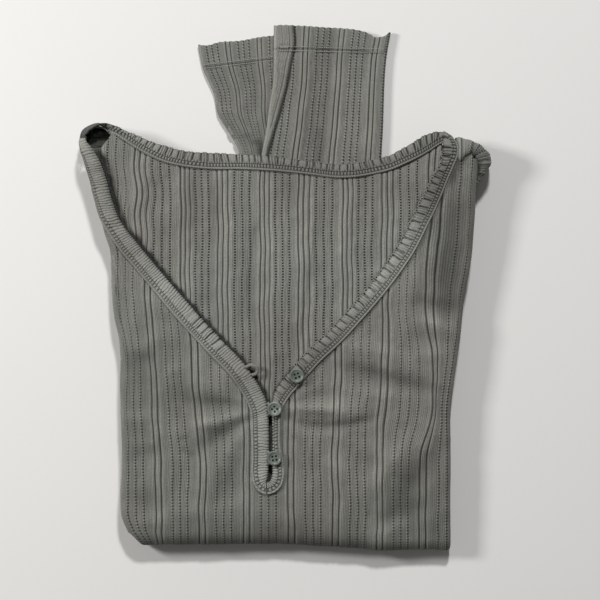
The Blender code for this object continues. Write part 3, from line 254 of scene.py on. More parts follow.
BAND_RIGHT = table(
    "seam_x seam_y seam_lift free_x free_y free_lift arch",
    (-13.4, -160.3, 0.0, -13.4, -150.8, 0.0, 0), (-7.9, -158.8, 0.0, -12.0, -150.6, 0.0, 0),
    (-2.7, -154.2, 0.0, -10.4, -149.0, 0.0, 0), (-0.2, -147.0, 0.0, -9.0, -145.0, 0.0, 0),
    (-0.5, -136.0, 0.0, -8.8, -136.0, 0.0, 0), (-2.6, -125.0, 0.0, -8.8, -125.0, 0.0, 0),
    (-3.0, -110.0, 0.0, -8.8, -110.0, 0.0, 0), (-2.4, -96.0, 0.0, -9.2, -92.5, 0.0, 0),
    (2.8, -85.8, 0.0, -6.8, -79.4, 0.0, 0), (11.6, -75.2, 0.0, 2.0, -67.6, 0.0, 0),
    (27.4, -57.5, 0.0, 18.4, -49.2, 0.0, 0), (47.2, -38.8, 0.0, 37.4, -31.0, 0.0, 0),
    (60.5, -24.0, 0.0, 50.6, -16.8, 0.0, 0), (73.7, -9.0, 0.0, 63.4, -2.2, 0.0, 0),
    (92.2, 14.8, 0.0, 81.4, 21.5, 0.0, 0), (101.7, 29.2, 0.0, 90.6, 35.6, 0.0, 0),
    (113.1, 51.9, 0.0, 100.9, 55.9, 0.0, 0), (121.0, 68.5, 0.0, 108.9, 72.6, 0.0, 0),
    (128.0, 86.0, 0.0, 117.0, 88.6, 0.0, 0), (132.6, 97.0, 0.0, 122.2, 97.6, 0.0, 0),
    (135.8, 105.0, 0.0, 123.6, 105.4, 0.0, 0), (135.6, 112.0, -0.6, 123.4, 113.4, -0.1, 0),
    (131.4, 117.3, -2.4, 123.8, 120.6, -1.1, 0), (126.4, 120.4, -3.4, 122.6, 122.0, -2.4, 0),
)

# Sleeve heads, standing on the table round the shoulders: outer and inner edge, top.
HEAD_LEFT = table(
    "out_x out_y in_x in_y top",
    (-148.4, 77.0, -140.0, 78.0, 9.6), (-153.4, 92.0, -145.0, 94.0, 9.8),
    (-156.4, 106.0, -148.4, 107.0, 10.4), (-158.4, 116.0, -151.0, 114.0, 13.2),
    (-157.4, 121.8, -152.0, 116.0, 13.4), (-152.0, 126.6, -149.5, 119.0, 13.2),
    (-144.4, 128.4, -144.6, 120.4, 13.2), (-138.4, 125.2, -140.0, 118.0, 14.6),
    (-134.4, 122.4, -137.0, 115.6, 15.8), (-130.6, 119.8, -134.0, 113.4, 16.4),
)
HEAD_RIGHT = table(
    "out_x out_y in_x in_y top",
    (133.4, 118.2, 132.6, 102.0, 28.4), (137.0, 118.4, 136.8, 100.8, 31.8),
    (142.4, 117.0, 141.2, 105.0, 32.8), (148.0, 115.2, 145.6, 106.6, 32.4),
    (153.6, 112.2, 148.0, 105.4, 31.4), (157.8, 108.4, 149.4, 103.8, 30.0),
    (160.6, 104.6, 150.2, 101.8, 28.6), (161.4, 100.2, 150.6, 99.0, 27.2),
    (160.2, 95.8, 150.4, 95.8, 26.0), (157.6, 91.8, 150.0, 92.8, 24.8),
    (154.8, 87.6, 149.4, 89.4, 23.4), (152.4, 83.4, 148.6, 85.4, 21.4),
    (150.2, 79.4, 147.6, 81.0, 18.8),
)

# Sleeve ends, from the cuff to under the back: left and right edge, underside at each edge.
SLEEVE_LEFT = table(
    "left_x left_y right_x right_y left_base right_base",
    (-68.0, 191.5, 14.0, 202.4, 0.0, 0.0), (-64.6, 175.0, 13.0, 184.0, 0.0, 0.0),
    (-55.4, 153.0, 11.0, 158.0, 0.0, 0.0), (-52.6, 138.0, 9.0, 140.0, 0.0, 0.0),
    (-44.0, 123.5, 6.0, 124.0, 0.0, 0.0), (-36.6, 110.0, 4.0, 108.0, 0.0, 0.0),
    (-35.0, 92.0, 3.0, 90.0, 0.0, 0.0),
)
SLEEVE_RIGHT = table(
    "left_x left_y right_x right_y left_base right_base",
    (-8.4, 205.4, 83.4, 202.0, 7.6, 0.0), (-8.8, 185.5, 80.4, 184.9, 7.6, 0.0),
    (-9.6, 160.0, 78.4, 160.0, 7.3, 0.0), (-12.4, 143.0, 77.9, 143.0, 7.2, 0.0),
    (-14.2, 128.0, 77.4, 128.0, 7.2, 0.0), (-18.0, 106.0, 76.2, 106.0, 7.2, 0.0),
    (-20.0, 90.0, 75.4, 88.0, 7.2, 0.0),
)
SLEEVE_THICKNESS = 6.2
HEM_DEPTH = 17.5                # depth of a cuff's turned hem

# Shoulder edges of the hidden layers: the lower layers, and the upper ones that leave the
# hollow of the left shoulder open and lie beside the front's rolled side on the right.
LAYERS_LEFT = table(
    "low_x low_y high_x high_y",
    (-147.4, 92.0, -140.0, 90.0), (-152.4, 106.0, -142.0, 102.0), (-153.4, 116.0, -141.6, 110.0),
    (-149.4, 122.2, -139.0, 115.6), (-143.4, 124.2, -137.4, 119.0),
    (-138.0, 122.6, -134.0, 118.0),
)
LAYERS_BACK = table(
    "x y",
    (-126, 115), (-112, 108), (-95, 101.6), (-76, 98.2), (-52, 97.2), (-42, 97.2),
    (-40, 97), (-10, 94.4), (20, 91.6), (43, 89.6), (62, 91), (79, 94.4),
    (81, 95.2), (95, 101.8), (110, 110.2),
)
LAYERS_RIGHT = table(
    "low_x low_y high_x high_y beside",
    (124.0, 113.4, 122.0, 111.0, 0), (137.0, 114.4, 128.0, 108.0, 0),
    (147.0, 111.6, 135.0, 98.0, 0), (153.4, 107.0, 146.5, 99.0, 1),
    (157.4, 101.0, 147.0, 92.0, 1), (156.0, 95.2, 146.6, 86.0, 1), (148.0, 85.0, 145.4, 81.0, 1),
)
MOUTH = (-41.0, 80.0)           # where the sleeves run in under the back
MOUTH_DEPTH = 20.0

# Where the buttons sit: place, height over the stack, tilt about X and Y in degrees, turn.
BUTTONS = table(
    "x y lift tilt_x tilt_y turn",
    (9.6, -67.2, 4.5, 0, 4, 20), (-7.8, -93.4, 5.0, -4, 10, 48), (-7.9, -131.4, 4.6, 0, 4, 8),
)

# Centre lines of the loops' cord, from the band's edge and back, heights over the front. The
# open loop has its place, and a closed one is measured from its button.
LOOP_1 = table(
    "x y lift",
    (-30.0, -60.6, 2.6), (-26.4, -58.9, 3.6), (-23.0, -60.0, 3.8), (-21.0, -62.4, 3.6),
    (-21.8, -65.2, 3.2), (-25.4, -66.8, 2.4),
)
LOOP_IN_USE = table(
    "x y lift",
    (-13.6, 5.0, 1.7), (-11.2, 3.0, 1.7), (-10.9, 0.0, 1.7), (-11.2, -3.0, 1.7),
    (-13.6, -5.0, 1.7),
)
LOOP_2 = {**LOOP_IN_USE, "y": LOOP_IN_USE["y"] + BUTTONS["y"][1]}
LOOP_3 = {**LOOP_IN_USE, "y": LOOP_IN_USE["y"] + BUTTONS["y"][2]}


# ---------------------------------------------------------------- curves and heights
def through(at, xs, ys):
    """Value at each point of `at` of the smooth curve through (xs, ys)."""
    at = np.clip(at, xs[0], xs[-1])
    slopes = np.gradient(ys, xs)
    i = np.clip(np.searchsorted(xs, at, side="right") - 1, 0, len(xs) - 2)
    step = xs[i + 1] - xs[i]
    t = (at - xs[i]) / step
    start = ys[i] * (1 + 2 * t) * (1 - t) ** 2
    end = ys[i + 1] * t * t * (3 - 2 * t)
    start_slope = t * (1 - t) ** 2 * step * slopes[i]
    end_slope = t * t * (t - 1) * step * slopes[i + 1]
    return start + start_slope + end + end_slope


def distance_along(points):
    """How far along a line each of its points is."""
    steps = np.linalg.norm(np.diff(points, axis=0), axis=1)
    return np.concatenate(([0.0], np.cumsum(steps)))


def direction(points):
    """Unit direction of a line at each of its points."""
    ahead = np.gradient(points, axis=0)
    return ahead / np.linalg.norm(ahead, axis=1)[:, None]


def smooth_rail(columns, count):
    """Points at even distances on the smooth curve through the rows of `columns`."""
    rows = np.stack(columns, axis=1)
    knots = distance_along(rows[:, :2])
    at = np.linspace(0.0, knots[-1], count)
    return np.stack([through(at, knots, column) for column in rows.T], axis=1)


def hump(at, centre, half):
    """Smooth bump of height 1 at `centre`, about `half` wide on each side."""
    return np.exp(-((at - centre) / half) ** 2)


def step_up(at, low, high):
    """Smooth step from 0 at `low` to 1 at `high`."""
    t = np.clip((at - low) / (high - low), 0.0, 1.0)
    return t * t * (3 - 2 * t)


def between(at, rise, fall):
    """1 past the two places of `rise` and before those of `fall`, smooth within each pair."""
    return step_up(at, *rise) * (1 - step_up(at, *fall))


def mounds(x, y, rows):
    """Sum of the soft round mounds of a table: place, reach and size of each."""
    total = 0.0 * (x + y)
    for x0, y0, reach_x, reach_y, size in zip(*rows.values()):
        total = total + size * np.exp(-((x - x0) / reach_x) ** 2 - ((y - y0) / reach_y) ** 2)
    return total


def top_height(x, y):
    """Height of the stack's plain top face."""
    return BODY_HEIGHT + mounds(x, y, SWELLS)


def crease_height(x, y, creases):
    """Height that the creases of a table add to the plain face."""
    height = 0.0 * (x + y)
    for x0, y0, length, width, turn, bow, rise in zip(*creases.values()):
        angle = math.radians(turn)
        along = ((x - x0) * math.cos(angle) + (y - y0) * math.sin(angle)) / length
        off = (y - y0) * math.cos(angle) - (x - x0) * math.sin(angle) - bow * along ** 2
        height = height + rise * np.exp(-along ** 4 - (off / width) ** 2)
    return height


# Slow waves that keep a laid cloth from looking pressed: wave counts per metre, height.
WAVES = table(
    "across along phase rise",
    (31, 17, 0.4, 0.16), (-23, 29, 1.9, 0.15), (47, -13, 3.1, 0.10), (19, 53, 5.2, 0.12),
    (-61, 37, 2.4, 0.07), (83, 41, 0.9, 0.06), (-37, -71, 4.0, 0.07), (11, 97, 1.1, 0.055),
    (-97, 59, 2.9, 0.04), (71, -113, 0.2, 0.04),
)


def unevenness(x, y):
    """Small rise and fall of a cloth that lies loosely."""
    height = 0.0 * (x + y)
    for across, along, phase, rise in zip(*WAVES.values()):
        height = height + rise * np.sin(math.tau * (across * x + along * y) * MM + phase)
    return height


def ray_height(x, y):
    """Height that the creases round the crossing of the bands add to the front."""
    height = 0.0 * (x + y)
    across, up = x - GATHER[0], y - GATHER[1]
    for turn, spread, start, peak, end, rise in zip(*FRONT_RAYS.values()):
        angle = math.radians(turn)
        out = across * math.cos(angle) + up * math.sin(angle)
        off = up * math.cos(angle) - across * math.sin(angle)
        width = 1.0 + np.maximum(out, 0.0) * math.tan(math.radians(spread))
        swell = between(out, (start, peak), (peak, end))
        height = height + rise * swell * np.exp(-(off / width) ** 2)
    return height


def front_folds(x, y):
    """Height that all the creases add to the front."""
    return crease_height(x, y, FRONT_CREASES) + ray_height(x, y)


def front_height(x, y):
    """Height of the front's plain face with its creases."""
    return top_height(x, y) + front_folds(x, y) + unevenness(x, y)


def front_shade(x, y):
    """Painted shade of the front at a place, in its creases and its shaded parts; below zero it is
    painted light.
    """
    shade = mounds(x, y, FRONT_SHADES) - SHADE_RISE * front_folds(x, y)
    return np.clip(shade, *SHADE_LIMITS)


def bottom_axis(x):
    """Y of the axis that the bottom fold turns about."""
    edge = through(x, BOTTOM["x"], BOTTOM["y"])
    return edge + top_height(x, edge) / 2


def roll_radius(x, y):
    """Radius of a rolled side."""
    return (top_height(x, y) / 2 - HALF_GAP) / 2


FLAT_LEFT = SIDE_REFERENCE[0] + roll_radius(*SIDE_REFERENCE)
FLAT_RIGHT = SIDE_REFERENCE[1] - roll_radius(*SIDE_REFERENCE)
SWAY_FROM_SLOT = (6.5, 22.0)    # from the slit's middle: no sway up to the first, all past both


def front_x(across, y):
    """X at y of the rib line that leaves the bottom fold at `across`."""
    edges = [through(y, BODY["y"], BODY[side]) for side in ("left", "right")]
    flat = [edges[0] + roll_radius(edges[0], y), edges[1] - roll_radius(edges[1], y)]
    lean = [through(y, LEAN["y"], LEAN[name])
            for name in ("outer_left", "inner_left", "inner_right", "outer_right")]
    stops = (FLAT_LEFT, LEAN_ACROSS[0], LEAN_ACROSS[1], SLOT_LEFT, SLOT_RIGHT,
             LEAN_ACROSS[2], LEAN_ACROSS[3], FLAT_RIGHT)
    shifts = (flat[0] - FLAT_LEFT, lean[0], lean[1], 0.0 * y, 0.0 * y, lean[2], lean[3],
              flat[1] - FLAT_RIGHT)
    x = across + shifts[0]
    for k in range(len(stops) - 1):
        t = np.clip((across - stops[k]) / (stops[k + 1] - stops[k]), 0.0, 1.0)
        x = x + t * (shifts[k + 1] - shifts[k])
    free = step_up(np.abs(across - (SLOT_LEFT + SLOT_RIGHT) / 2), *SWAY_FROM_SLOT)
    return x + free * sway(across, y)


def sway(across, y):
    """How far a rib line strays to the side."""
    stray = 0.3 * np.sin(y / 7.9 + across / 13.0) + 0.35 * np.sin(y / 15.7 - across / 31.0 + 1.4)
    return stray + 0.12 * np.sin(y / 3.7 + across / 5.3)


# ---------------------------------------------------------------- ribs of the knit
# Each rib or groove of one repeat: its place from the first groove, half width and rise. The
# mesh of the front has a line at each of RIB_LINES, and that of the back at BACK_LINES.
BEFORE_GROOVE = 8.0             # part of a repeat that lies before its first groove
FRONT_RIBS = table(
    "at half rise",
    (0.0, 0.5, -0.62), (4.6, 0.5, -0.62), (-3.0, 1.1, 0.22), (-1.5, 0.8, 0.34),
    (1.45, 0.85, 0.36), (3.15, 0.85, 0.36), (6.1, 0.8, 0.34), (7.6, 1.1, 0.22),
)
BACK_RIBS = table(
    "at half rise",
    (0.0, 0.5, -0.60), (3.9, 0.5, -0.55), (8.0, 0.6, -0.30), (-2.8, 1.1, 0.22),
    (-1.4, 0.8, 0.32), (1.9, 1.1, 0.42), (5.9, 1.2, 0.40), (9.7, 1.0, 0.26),
)
RIB_LINES = (
    -4.6, -3.6, -2.8, -2.1, -1.5, -1.0, -0.6, -0.3, 0.0, 0.3, 0.6, 1.1, 1.6, 2.3, 3.0, 3.5,
    4.0, 4.3, 4.6, 4.9, 5.2, 5.6, 6.1, 6.8, 7.6, 8.6, 10.0, 11.8, 13.6, 15.4, 17.2, 19.0,
    20.8, 22.6, 24.4, 26.4, 28.2,
)
BACK_LINES = (
    -4.6, -3.6, -2.8, -2.1, -1.5, -1.0, -0.6, -0.3, 0.0, 0.3, 0.6, 1.2, 1.9, 2.6, 3.1, 3.5,
    3.9, 4.3, 4.7, 5.2, 5.9, 6.6, 7.1, 7.6, 8.0, 8.4, 8.9, 9.7, 10.8, 12.2, 13.8, 15.4,
    17.2, 19.0, 20.8, 22.6, 24.4, 26.4,
)


def rib_relief(place, first, repeat, ribs):
    """Rise of the ribs at `place` across the cloth."""
    at = (place - first + BEFORE_GROOVE) % repeat - BEFORE_GROOVE
    rise = 0.0 * at
    for centre, half, height in zip(*ribs.values()):
        rise = rise + height * hump(at, centre, half)
    return rise


def rib_lines(first, repeat, low, high, lines=RIB_LINES, extra=()):
    """Places across the cloth where its mesh has a line, between low and high."""
    places = [first + n * repeat + line
              for n in range(int((high - first) / repeat) + 2) for line in lines]
    kept = [place for place in places if low + 0.5 < place < high - 0.5
            and all(abs(place - other) > 0.4 for other in extra)]
    return sorted(kept + [low, high, *extra])


def stretch_of(points, uv):
    """How much wider the laid cloth is than its flat width, at each corner of a grid."""
    laid = np.linalg.norm(np.gradient(points, axis=1), axis=2)
    return np.clip(laid / np.maximum(np.gradient(uv[:, :, 0], axis=1), 0.05), 0.6, 1.8)


# ---------------------------------------------------------------- making meshes
def select_only(piece):
    """Select this piece and nothing else."""
    bpy.ops.object.select_all(action="DESELECT")
    piece.select_set(True)
    bpy.context.view_layer.objects.active = piece


def add_shape(operator, **settings):
    """A new primitive, selected alone."""
    bpy.ops.object.select_all(action="DESELECT")
    operator(**settings)
    return bpy.context.object


def edit_whole(piece, operator, **settings):
    """Run a mesh operator on all of a piece."""
    select_only(piece)
    bpy.ops.object.mode_set(mode="EDIT")
    bpy.ops.mesh.select_all(action="SELECT")
    operator(**settings)
    bpy.ops.object.mode_set(mode="OBJECT")


def lay_grid(name, points, uv, marks=None, flip=False):
    """A grid primitive with its corners laid on `points`, rows by columns, in millimetres.

    uv is the place of each corner on the cloth, and marks are attributes by name.
    """
    rows, columns = points.shape[:2]
    piece = add_shape(bpy.ops.mesh.primitive_grid_add, x_subdivisions=columns - 1,
                      y_subdivisions=rows - 1, size=2)
    piece.name = name
    mesh = piece.data
    mesh.name = name
    flat = np.empty(len(mesh.vertices) * 3)
    mesh.vertices.foreach_get("co", flat)
    flat = flat.reshape(-1, 3)
    column = np.rint((flat[:, 0] + 1) / 2 * (columns - 1)).astype(int)
    row = np.rint((flat[:, 1] + 1) / 2 * (rows - 1)).astype(int)
    mesh.vertices.foreach_set("co", (points[row, column] * MM).ravel())
    corners = np.empty(len(mesh.loops), dtype=np.int32)
    mesh.loops.foreach_get("vertex_index", corners)
    layer = mesh.uv_layers[0]
    layer.name = "cloth"
    layer.data.foreach_set("uv", (uv[row, column] * MM)[corners].ravel())
    for mark, values in (marks or {}).items():
        attribute = mesh.attributes.new(mark, "FLOAT", "POINT")
        attribute.data.foreach_set("value", values[row, column].astype(np.float32))
    if flip:
        mesh.flip_normals()
    mesh.update()
    return piece


def drop_faces(piece, unwanted):
    """Delete the faces of a piece whose middle `unwanted` picks."""
    select_only(piece)
    bpy.ops.object.mode_set(mode="EDIT")
    bpy.ops.mesh.select_mode(type="FACE")
    bpy.ops.mesh.select_all(action="DESELECT")
    bpy.ops.object.mode_set(mode="OBJECT")
    for polygon in piece.data.polygons:
        polygon.select = bool(unwanted(polygon.center))
    bpy.ops.object.mode_set(mode="EDIT")
    bpy.ops.mesh.delete(type="FACE")
    bpy.ops.object.mode_set(mode="OBJECT")


def weld(piece, distance=0.005):
    """Merge the corners that meet, as at the seam of a tube."""
    edit_whole(piece, bpy.ops.mesh.remove_doubles, threshold=distance * MM)


def close_ends(piece):
    """Fill the open ends of a tube."""
    edit_whole(piece, bpy.ops.mesh.fill_holes, sides=0)


def thicken(piece, wall):
    """Give a laid sheet its wall, inwards from its face."""
    solid = piece.modifiers.new("wall", "SOLIDIFY")
    solid.thickness = wall * MM
    solid.offset = -1.0
    solid.use_even_offset = False
    select_only(piece)
    bpy.ops.object.modifier_apply(modifier=solid.name)


def finish_piece(piece, material, nodes, angle=50.0):
    """Shade a piece, give it its material and tie it to the part."""
    select_only(piece)
    bpy.ops.object.shade_smooth_by_angle(angle=math.radians(angle))
    piece.data.materials.clear()
    piece.data.materials.append(material)
    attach(piece, "root")
    if nodes:
        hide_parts(*nodes)
    return piece


# ---------------------------------------------------------------- materials
class Wire:
    """A number in a material. Sums on wires add Math nodes."""

    def __init__(self, surface, socket):
        self.surface = surface
        self.socket = socket

    def math(self, operation, *values, clamp=False):
        return self.surface.node("ShaderNodeMath", {"operation": operation, "use_clamp": clamp},
                                 *values)

    def __add__(self, other):
        return self.math("ADD", self, other)

    def __sub__(self, other):
        return self.math("SUBTRACT", self, other)

    def __rsub__(self, other):
        return self.math("SUBTRACT", other, self)

    def __mul__(self, other):
        return self.math("MULTIPLY", self, other)

    def __truediv__(self, other):
        return self.math("DIVIDE", self, other)

    __radd__ = __add__
    __rmul__ = __mul__

    def abs(self):
        return self.math("ABSOLUTE", self)

    def fract(self):
        return self.math("FRACT", self)

    def sin(self):
        return self.math("SINE", self)

    def root(self):
        return self.math("SQRT", self)

    def least(self, other):
        return self.math("MINIMUM", self, other)

    def most(self, other):
        return self.math("MAXIMUM", self, other)

    def step(self, low, high):
        """0 up to low, 1 from high, smooth between."""
        settings = {"interpolation_type": "SMOOTHSTEP"}
        return self.surface.node("ShaderNodeMapRange", settings, self, low, high, 0.0, 1.0)


class Surface:
    """A material with one method for every node."""

    def __init__(self, name, roughness, sheen=0.0):
        self.material = bpy.data.materials.new(name)
        self.material.use_nodes = True
        self.tree = self.material.node_tree
        self.shader = self.tree.nodes["Principled BSDF"]
        self.shader.inputs["Roughness"].default_value = roughness
        self.shader.inputs["Sheen Weight"].default_value = sheen
        self.shader.inputs["Sheen Roughness"].default_value = 0.5
        self.shader.inputs["Specular IOR Level"].default_value = 0.3

    def node(self, kind, settings=None, *values, out=0, **named):
        """Add a node: its settings first, then its sockets in order or by name."""
        node = self.tree.nodes.new(kind)
        for key, value in (settings or {}).items():
            setattr(node, key, value)
        sockets = list(zip(node.inputs, values))
        sockets += [(node.inputs[key.replace("_", " ")], value) for key, value in named.items()]
        for socket, value in sockets:
            self.plug(value, socket)
        return Wire(self, node.outputs[out])

    def plug(self, value, socket):
        """Link a wire to a socket, or set the socket to a value."""
        if isinstance(value, Wire):
            self.tree.links.new(value.socket, socket)
        else:
            socket.default_value = value

    def mix(self, low, high, factor):
        """Colour between two colours; a factor over 1 goes past the second."""
        node = self.tree.nodes.new("ShaderNodeMix")
        node.data_type = "RGBA"
        node.clamp_factor = False
        for key, value in (("Factor_Float", factor), ("A_Color", low), ("B_Color", high)):
            socket = next(s for s in node.inputs if s.identifier == key)
            self.plug((*value, 1.0) if isinstance(value, tuple) else value, socket)
        return Wire(self, next(s for s in node.outputs if s.identifier == "Result_Color"))

    def noise(self, vector, scale, detail=2.0, roughness=0.5):
        return self.node("ShaderNodeTexNoise", {"noise_dimensions": "3D"}, Vector=vector,
                         Scale=scale, Detail=detail, Roughness=roughness)

    def own_place(self):
        """Place in the part's own frame."""
        return self.node("ShaderNodeTexCoord", None, out=3)

    def cloth_place(self):
        """Place on the cloth in millimetres: across the ribs, along them, and the raw vector."""
        vector = self.node("ShaderNodeUVMap", {"uv_map": "cloth"})
        x = self.node("ShaderNodeSeparateXYZ", None, vector, out=0)
        y = self.node("ShaderNodeSeparateXYZ", None, vector, out=1)
        return x / MM, y / MM, vector

    def mark(self, name):
        """Number that the piece's mesh holds under a name."""
        return self.node("ShaderNodeAttribute", {"attribute_name": name}, out=2)

    def paint(self, colour):
        self.plug(colour, self.shader.inputs["Base Color"])

    def relief(self, height, strength=1.0):
        """Bump from a height in millimetres."""
        bump = self.node("ShaderNodeBump", None, Strength=strength, Distance=MM, Height=height)
        self.plug(bump, self.shader.inputs["Normal"])


# Painted shade: DEEP is the colour that the holes, grooves, creases and shaded places of the cloth
# are painted towards.
DEEP = (0.012, 0.012, 0.010)    # the bottom of a hollow
GREY_GREEN = (0.183, 0.187, 0.166)
INSIDE_GREEN = (0.207, 0.211, 0.190)
SLEEVE_GREEN = (0.198, 0.202, 0.181)
TRIM_GREEN = (0.290, 0.294, 0.268)
TAUPE = (0.188, 0.181, 0.162)   # the warmer patches of the cloth
SEWING_GREY = (0.31, 0.315, 0.285)
YARN_GREY = (0.23, 0.234, 0.21)
# Painted shade: a darker copy of the edge yarn, for the loops that lie in the shadow of the left
# band.
SHADED_GREY = (0.055, 0.057, 0.050)
BUTTON_DARK = (0.094, 0.112, 0.097)
BUTTON_LIGHT = (0.165, 0.188, 0.162)
TABLE_WHITE = (0.76, 0.745, 0.73)


def washed(surface, vector, tone, light):
    """Colour of the washed cotton: tone 0 is the deepest painted shade, 1 the plain cloth, and
    above 1 painted light.
    """
    place = surface.own_place()
    patches = surface.noise(place, 26.0, detail=4.0, roughness=0.6)
    heather = surface.noise(vector, 900.0, detail=2.0, roughness=0.7)
    tint = surface.noise(place, 9.0, detail=1.0)
    body = surface.mix(light, TAUPE, tint.step(0.35, 0.7))
    level = tone * (0.66 + 0.68 * patches) * (0.40 + 1.20 * heather)
    return surface.mix(DEEP, body, level)


HOLE_MIDDLE = 18.9              # middle of the three columns of holes, from the first groove
HOLE_SPACING = 5.9
HOLE_HALF_HEIGHT = 0.84
BEAD_HALF = (0.62, 0.72)        # half width and half height of the yarn between two holes
WALE = 1.25                     # width of one column of stitches
COURSE = 0.9                    # height of one row of stitches

# The two faces of the knit: pitch, slant and shift aside of the holes, their half width and
# how dark their painted shade is, and the half width of a groove.
OUTSIDE = {"pitch": 2.40, "slant": 0.45, "aside": 0.5, "half": 0.60, "dark": 0.90, "groove": 0.75}
INSIDE = {"pitch": 2.15, "slant": 0.0, "aside": 0.0, "half": 0.74, "dark": 0.95, "groove": 0.6}


def spot(off, up, half_width, half_height, full, none):
    """An oval spot: 1 in its middle, falling to 0 between `full` and `none`."""
    wide = off / half_width
    tall = up / half_height
    return 1.0 - (wide * wide + tall * tall).step(full, none)


def openwork(surface, at, along, face):
    """Holes, the yarn between them and the furrow of each column, by place in the repeat."""
    from_middle = at - HOLE_MIDDLE
    in_holes = 1.0 - from_middle.abs().step(HOLE_SPACING * 1.4, HOLE_SPACING * 1.5)
    in_holes = in_holes * (1.0 - surface.mark("plain"))
    off = (((from_middle / HOLE_SPACING) + 0.5).fract() - 0.5) * HOLE_SPACING
    off = off * surface.mark("stretch").most(0.6)
    pitch, slant, aside = face["pitch"], face["slant"], face["aside"]
    up = ((along / pitch).fract() - 0.5) * pitch
    hole_off = off - aside - slant * up
    hole = spot(hole_off, up, face["half"], HOLE_HALF_HEIGHT, 0.3, 1.3) * in_holes
    bead_up = (((along / pitch) + 0.5).fract() - 0.5) * pitch
    bead_off = off + aside * 0.8 - slant * bead_up
    bead = spot(bead_off, bead_up, *BEAD_HALF, 0.2, 1.5) * in_holes
    furrow = (1.0 - off.abs().step(0.6, 1.7)) * in_holes
    return hole, bead, furrow


def knit(name, first, repeat, grooves, face, light):
    """Rib knit with three columns of small holes in each repeat."""
    surface = Surface(name, roughness=0.93, sheen=0.12)
    across, along, vector = surface.cloth_place()
    at = ((across - first) / repeat).fract() * repeat
    near = at.least(repeat - at)
    for place in grooves:
        near = near.least((at - place).abs())
    groove = (1.0 - near.step(0.1, face["groove"])) * (1.0 - surface.mark("plain"))
    flank = near.step(0.5, 1.0) * (1.0 - near.step(2.0, 3.6))
    hole, bead, furrow = openwork(surface, at, along, face)
    uneven = surface.noise(vector, 130.0, detail=3.0)
    wales = (across * (math.tau / WALE) + 2.5 * uneven).sin()
    half_wale = (across * (math.pi / WALE)).sin().abs()
    courses = ((along * (math.tau / COURSE)) + half_wale * 2.4).sin()
    fuzz = surface.noise(vector, 2600.0, detail=2.0)
    drawn_out = surface.node("ShaderNodeMapping", None, Vector=vector, Scale=(1.0, 0.05, 1.0))
    streaks = surface.noise(drawn_out, 480.0, detail=4.0, roughness=0.65)
    # Painted shade: the grooves, the holes and the furrows beside them are darkened, and so is the
    # cloth where its mesh marks painted shade, which lightens it below zero. Painted highlight: the
    # flanks beside the grooves and the yarn between the holes are lightened.
    tone = (1.0 - 0.82 * groove) * (1.0 - face["dark"] * hole) * (1.0 + 0.80 * bead)
    tone = tone * (1.0 + 0.26 * flank) * (1.0 - 0.12 * furrow) * (1.0 + 0.12 * wales)
    tone = tone * (0.62 + 0.76 * streaks) * (1.0 - 0.85 * surface.mark("painted_shading"))
    surface.paint(washed(surface, vector, tone, light))
    height = 0.14 * wales + 0.06 * courses + 0.12 * fuzz - 0.16 * furrow - 0.6 * hole
    height = height + 0.35 * bead - 0.25 * groove + 0.2 * streaks
    surface.relief(height)
    return surface.material


YARN_TWIST = 1.3                # along the band, between two turns of its yarn


def trim_cloth():
    """Corded knit of the neck band, whose cords are in its mesh."""
    surface = Surface("trim_cloth", roughness=0.92, sheen=0.12)
    across, along, vector = surface.cloth_place()
    painted_shading = surface.mark("painted_shading")
    fibre = surface.noise(vector, 1500.0, detail=3.0, roughness=0.6)
    ply = ((along * 1.1 + across * 2.3) * math.tau / YARN_TWIST).sin()
    # Painted shade where the mesh marks it: between the cords and lobes, in the furrowed lines and
    # at the rim; painted light where that mark is below zero.
    tone = (1.0 - 0.95 * painted_shading) * (0.85 + 0.32 * fibre) * (1.0 + 0.06 * ply)
    surface.paint(washed(surface, vector, tone, TRIM_GREEN))
    surface.relief(0.18 * fibre + 0.05 * ply)
    return surface.material


def button_plastic():
    """Clouded grey-green plastic."""
    surface = Surface("button_plastic", roughness=0.38)
    surface.shader.inputs["Specular IOR Level"].default_value = 0.5
    place = surface.own_place()
    cloud = surface.noise(place, 160.0, detail=3.0)
    surface.paint(surface.mix(BUTTON_DARK, BUTTON_LIGHT, cloud.step(0.3, 0.75)))
    surface.relief(0.03 * surface.noise(place, 1200.0), strength=0.5)
    return surface.material


def thread(name, colour):
    """Matt thread, darker between its fibres."""
    surface = Surface(name, roughness=0.85, sheen=0.2)
    place = surface.own_place()
    fibre = surface.noise(place, 3000.0)
    dark = tuple(0.55 * part for part in colour)
    surface.paint(surface.mix(dark, colour, 0.35 + 0.8 * fibre))
    surface.relief(0.1 * fibre)
    return surface.material


def table_paint():
    """White paint of the table, very slightly clouded."""
    surface = Surface("white_table", roughness=0.6)
    place = surface.own_place()
    cloud = surface.noise(place, 3.0, detail=2.0)
    shade = tuple(0.97 * part for part in TABLE_WHITE)
    surface.paint(surface.mix(shade, TABLE_WHITE, cloud))
    return surface.material


# ---------------------------------------------------------------- front
ROLL_TOP = {"left": 108.0, "right": 102.0}      # y where each rolled side ends
FLAP_ROWS = 104
BELOW_ROWS = 14
TURN_ROWS = 14
UNDER_ROWS = 16
FADE_START = 1.3                # share of the ribs' relief at the fold's start, 1 at most
FADE_RATE = 1.5                 # how much of that share goes over the fold's turn
TRACE_STEPS = 1600              # places tried to find where a line meets the neck
ROLL_ANGLES = np.radians((180, 158, 136, 114, 92, 72, 54, 36, 18))
# The painted shade of the top face sets in between these heights.
SHADE_FROM = (4.0, 12.0)        # heights between which the shades of the top face set in


def section_point(side, place, y, inward):
    """Place across and depth below the top face of one point of a cross-section."""
    if side == "flat":
        return front_x(place, y), inward + 0.0 * y
    sign = 1.0 if side == "left" else -1.0
    edge = through(y, BODY["y"], BODY[side])
    radius = roll_radius(edge, y)
    centre = edge + sign * radius
    if place is None:
        return centre + sign * TUCK, 2 * radius - inward
    return (centre - sign * (radius - inward) * math.sin(place),
            radius - (radius - inward) * math.cos(place))


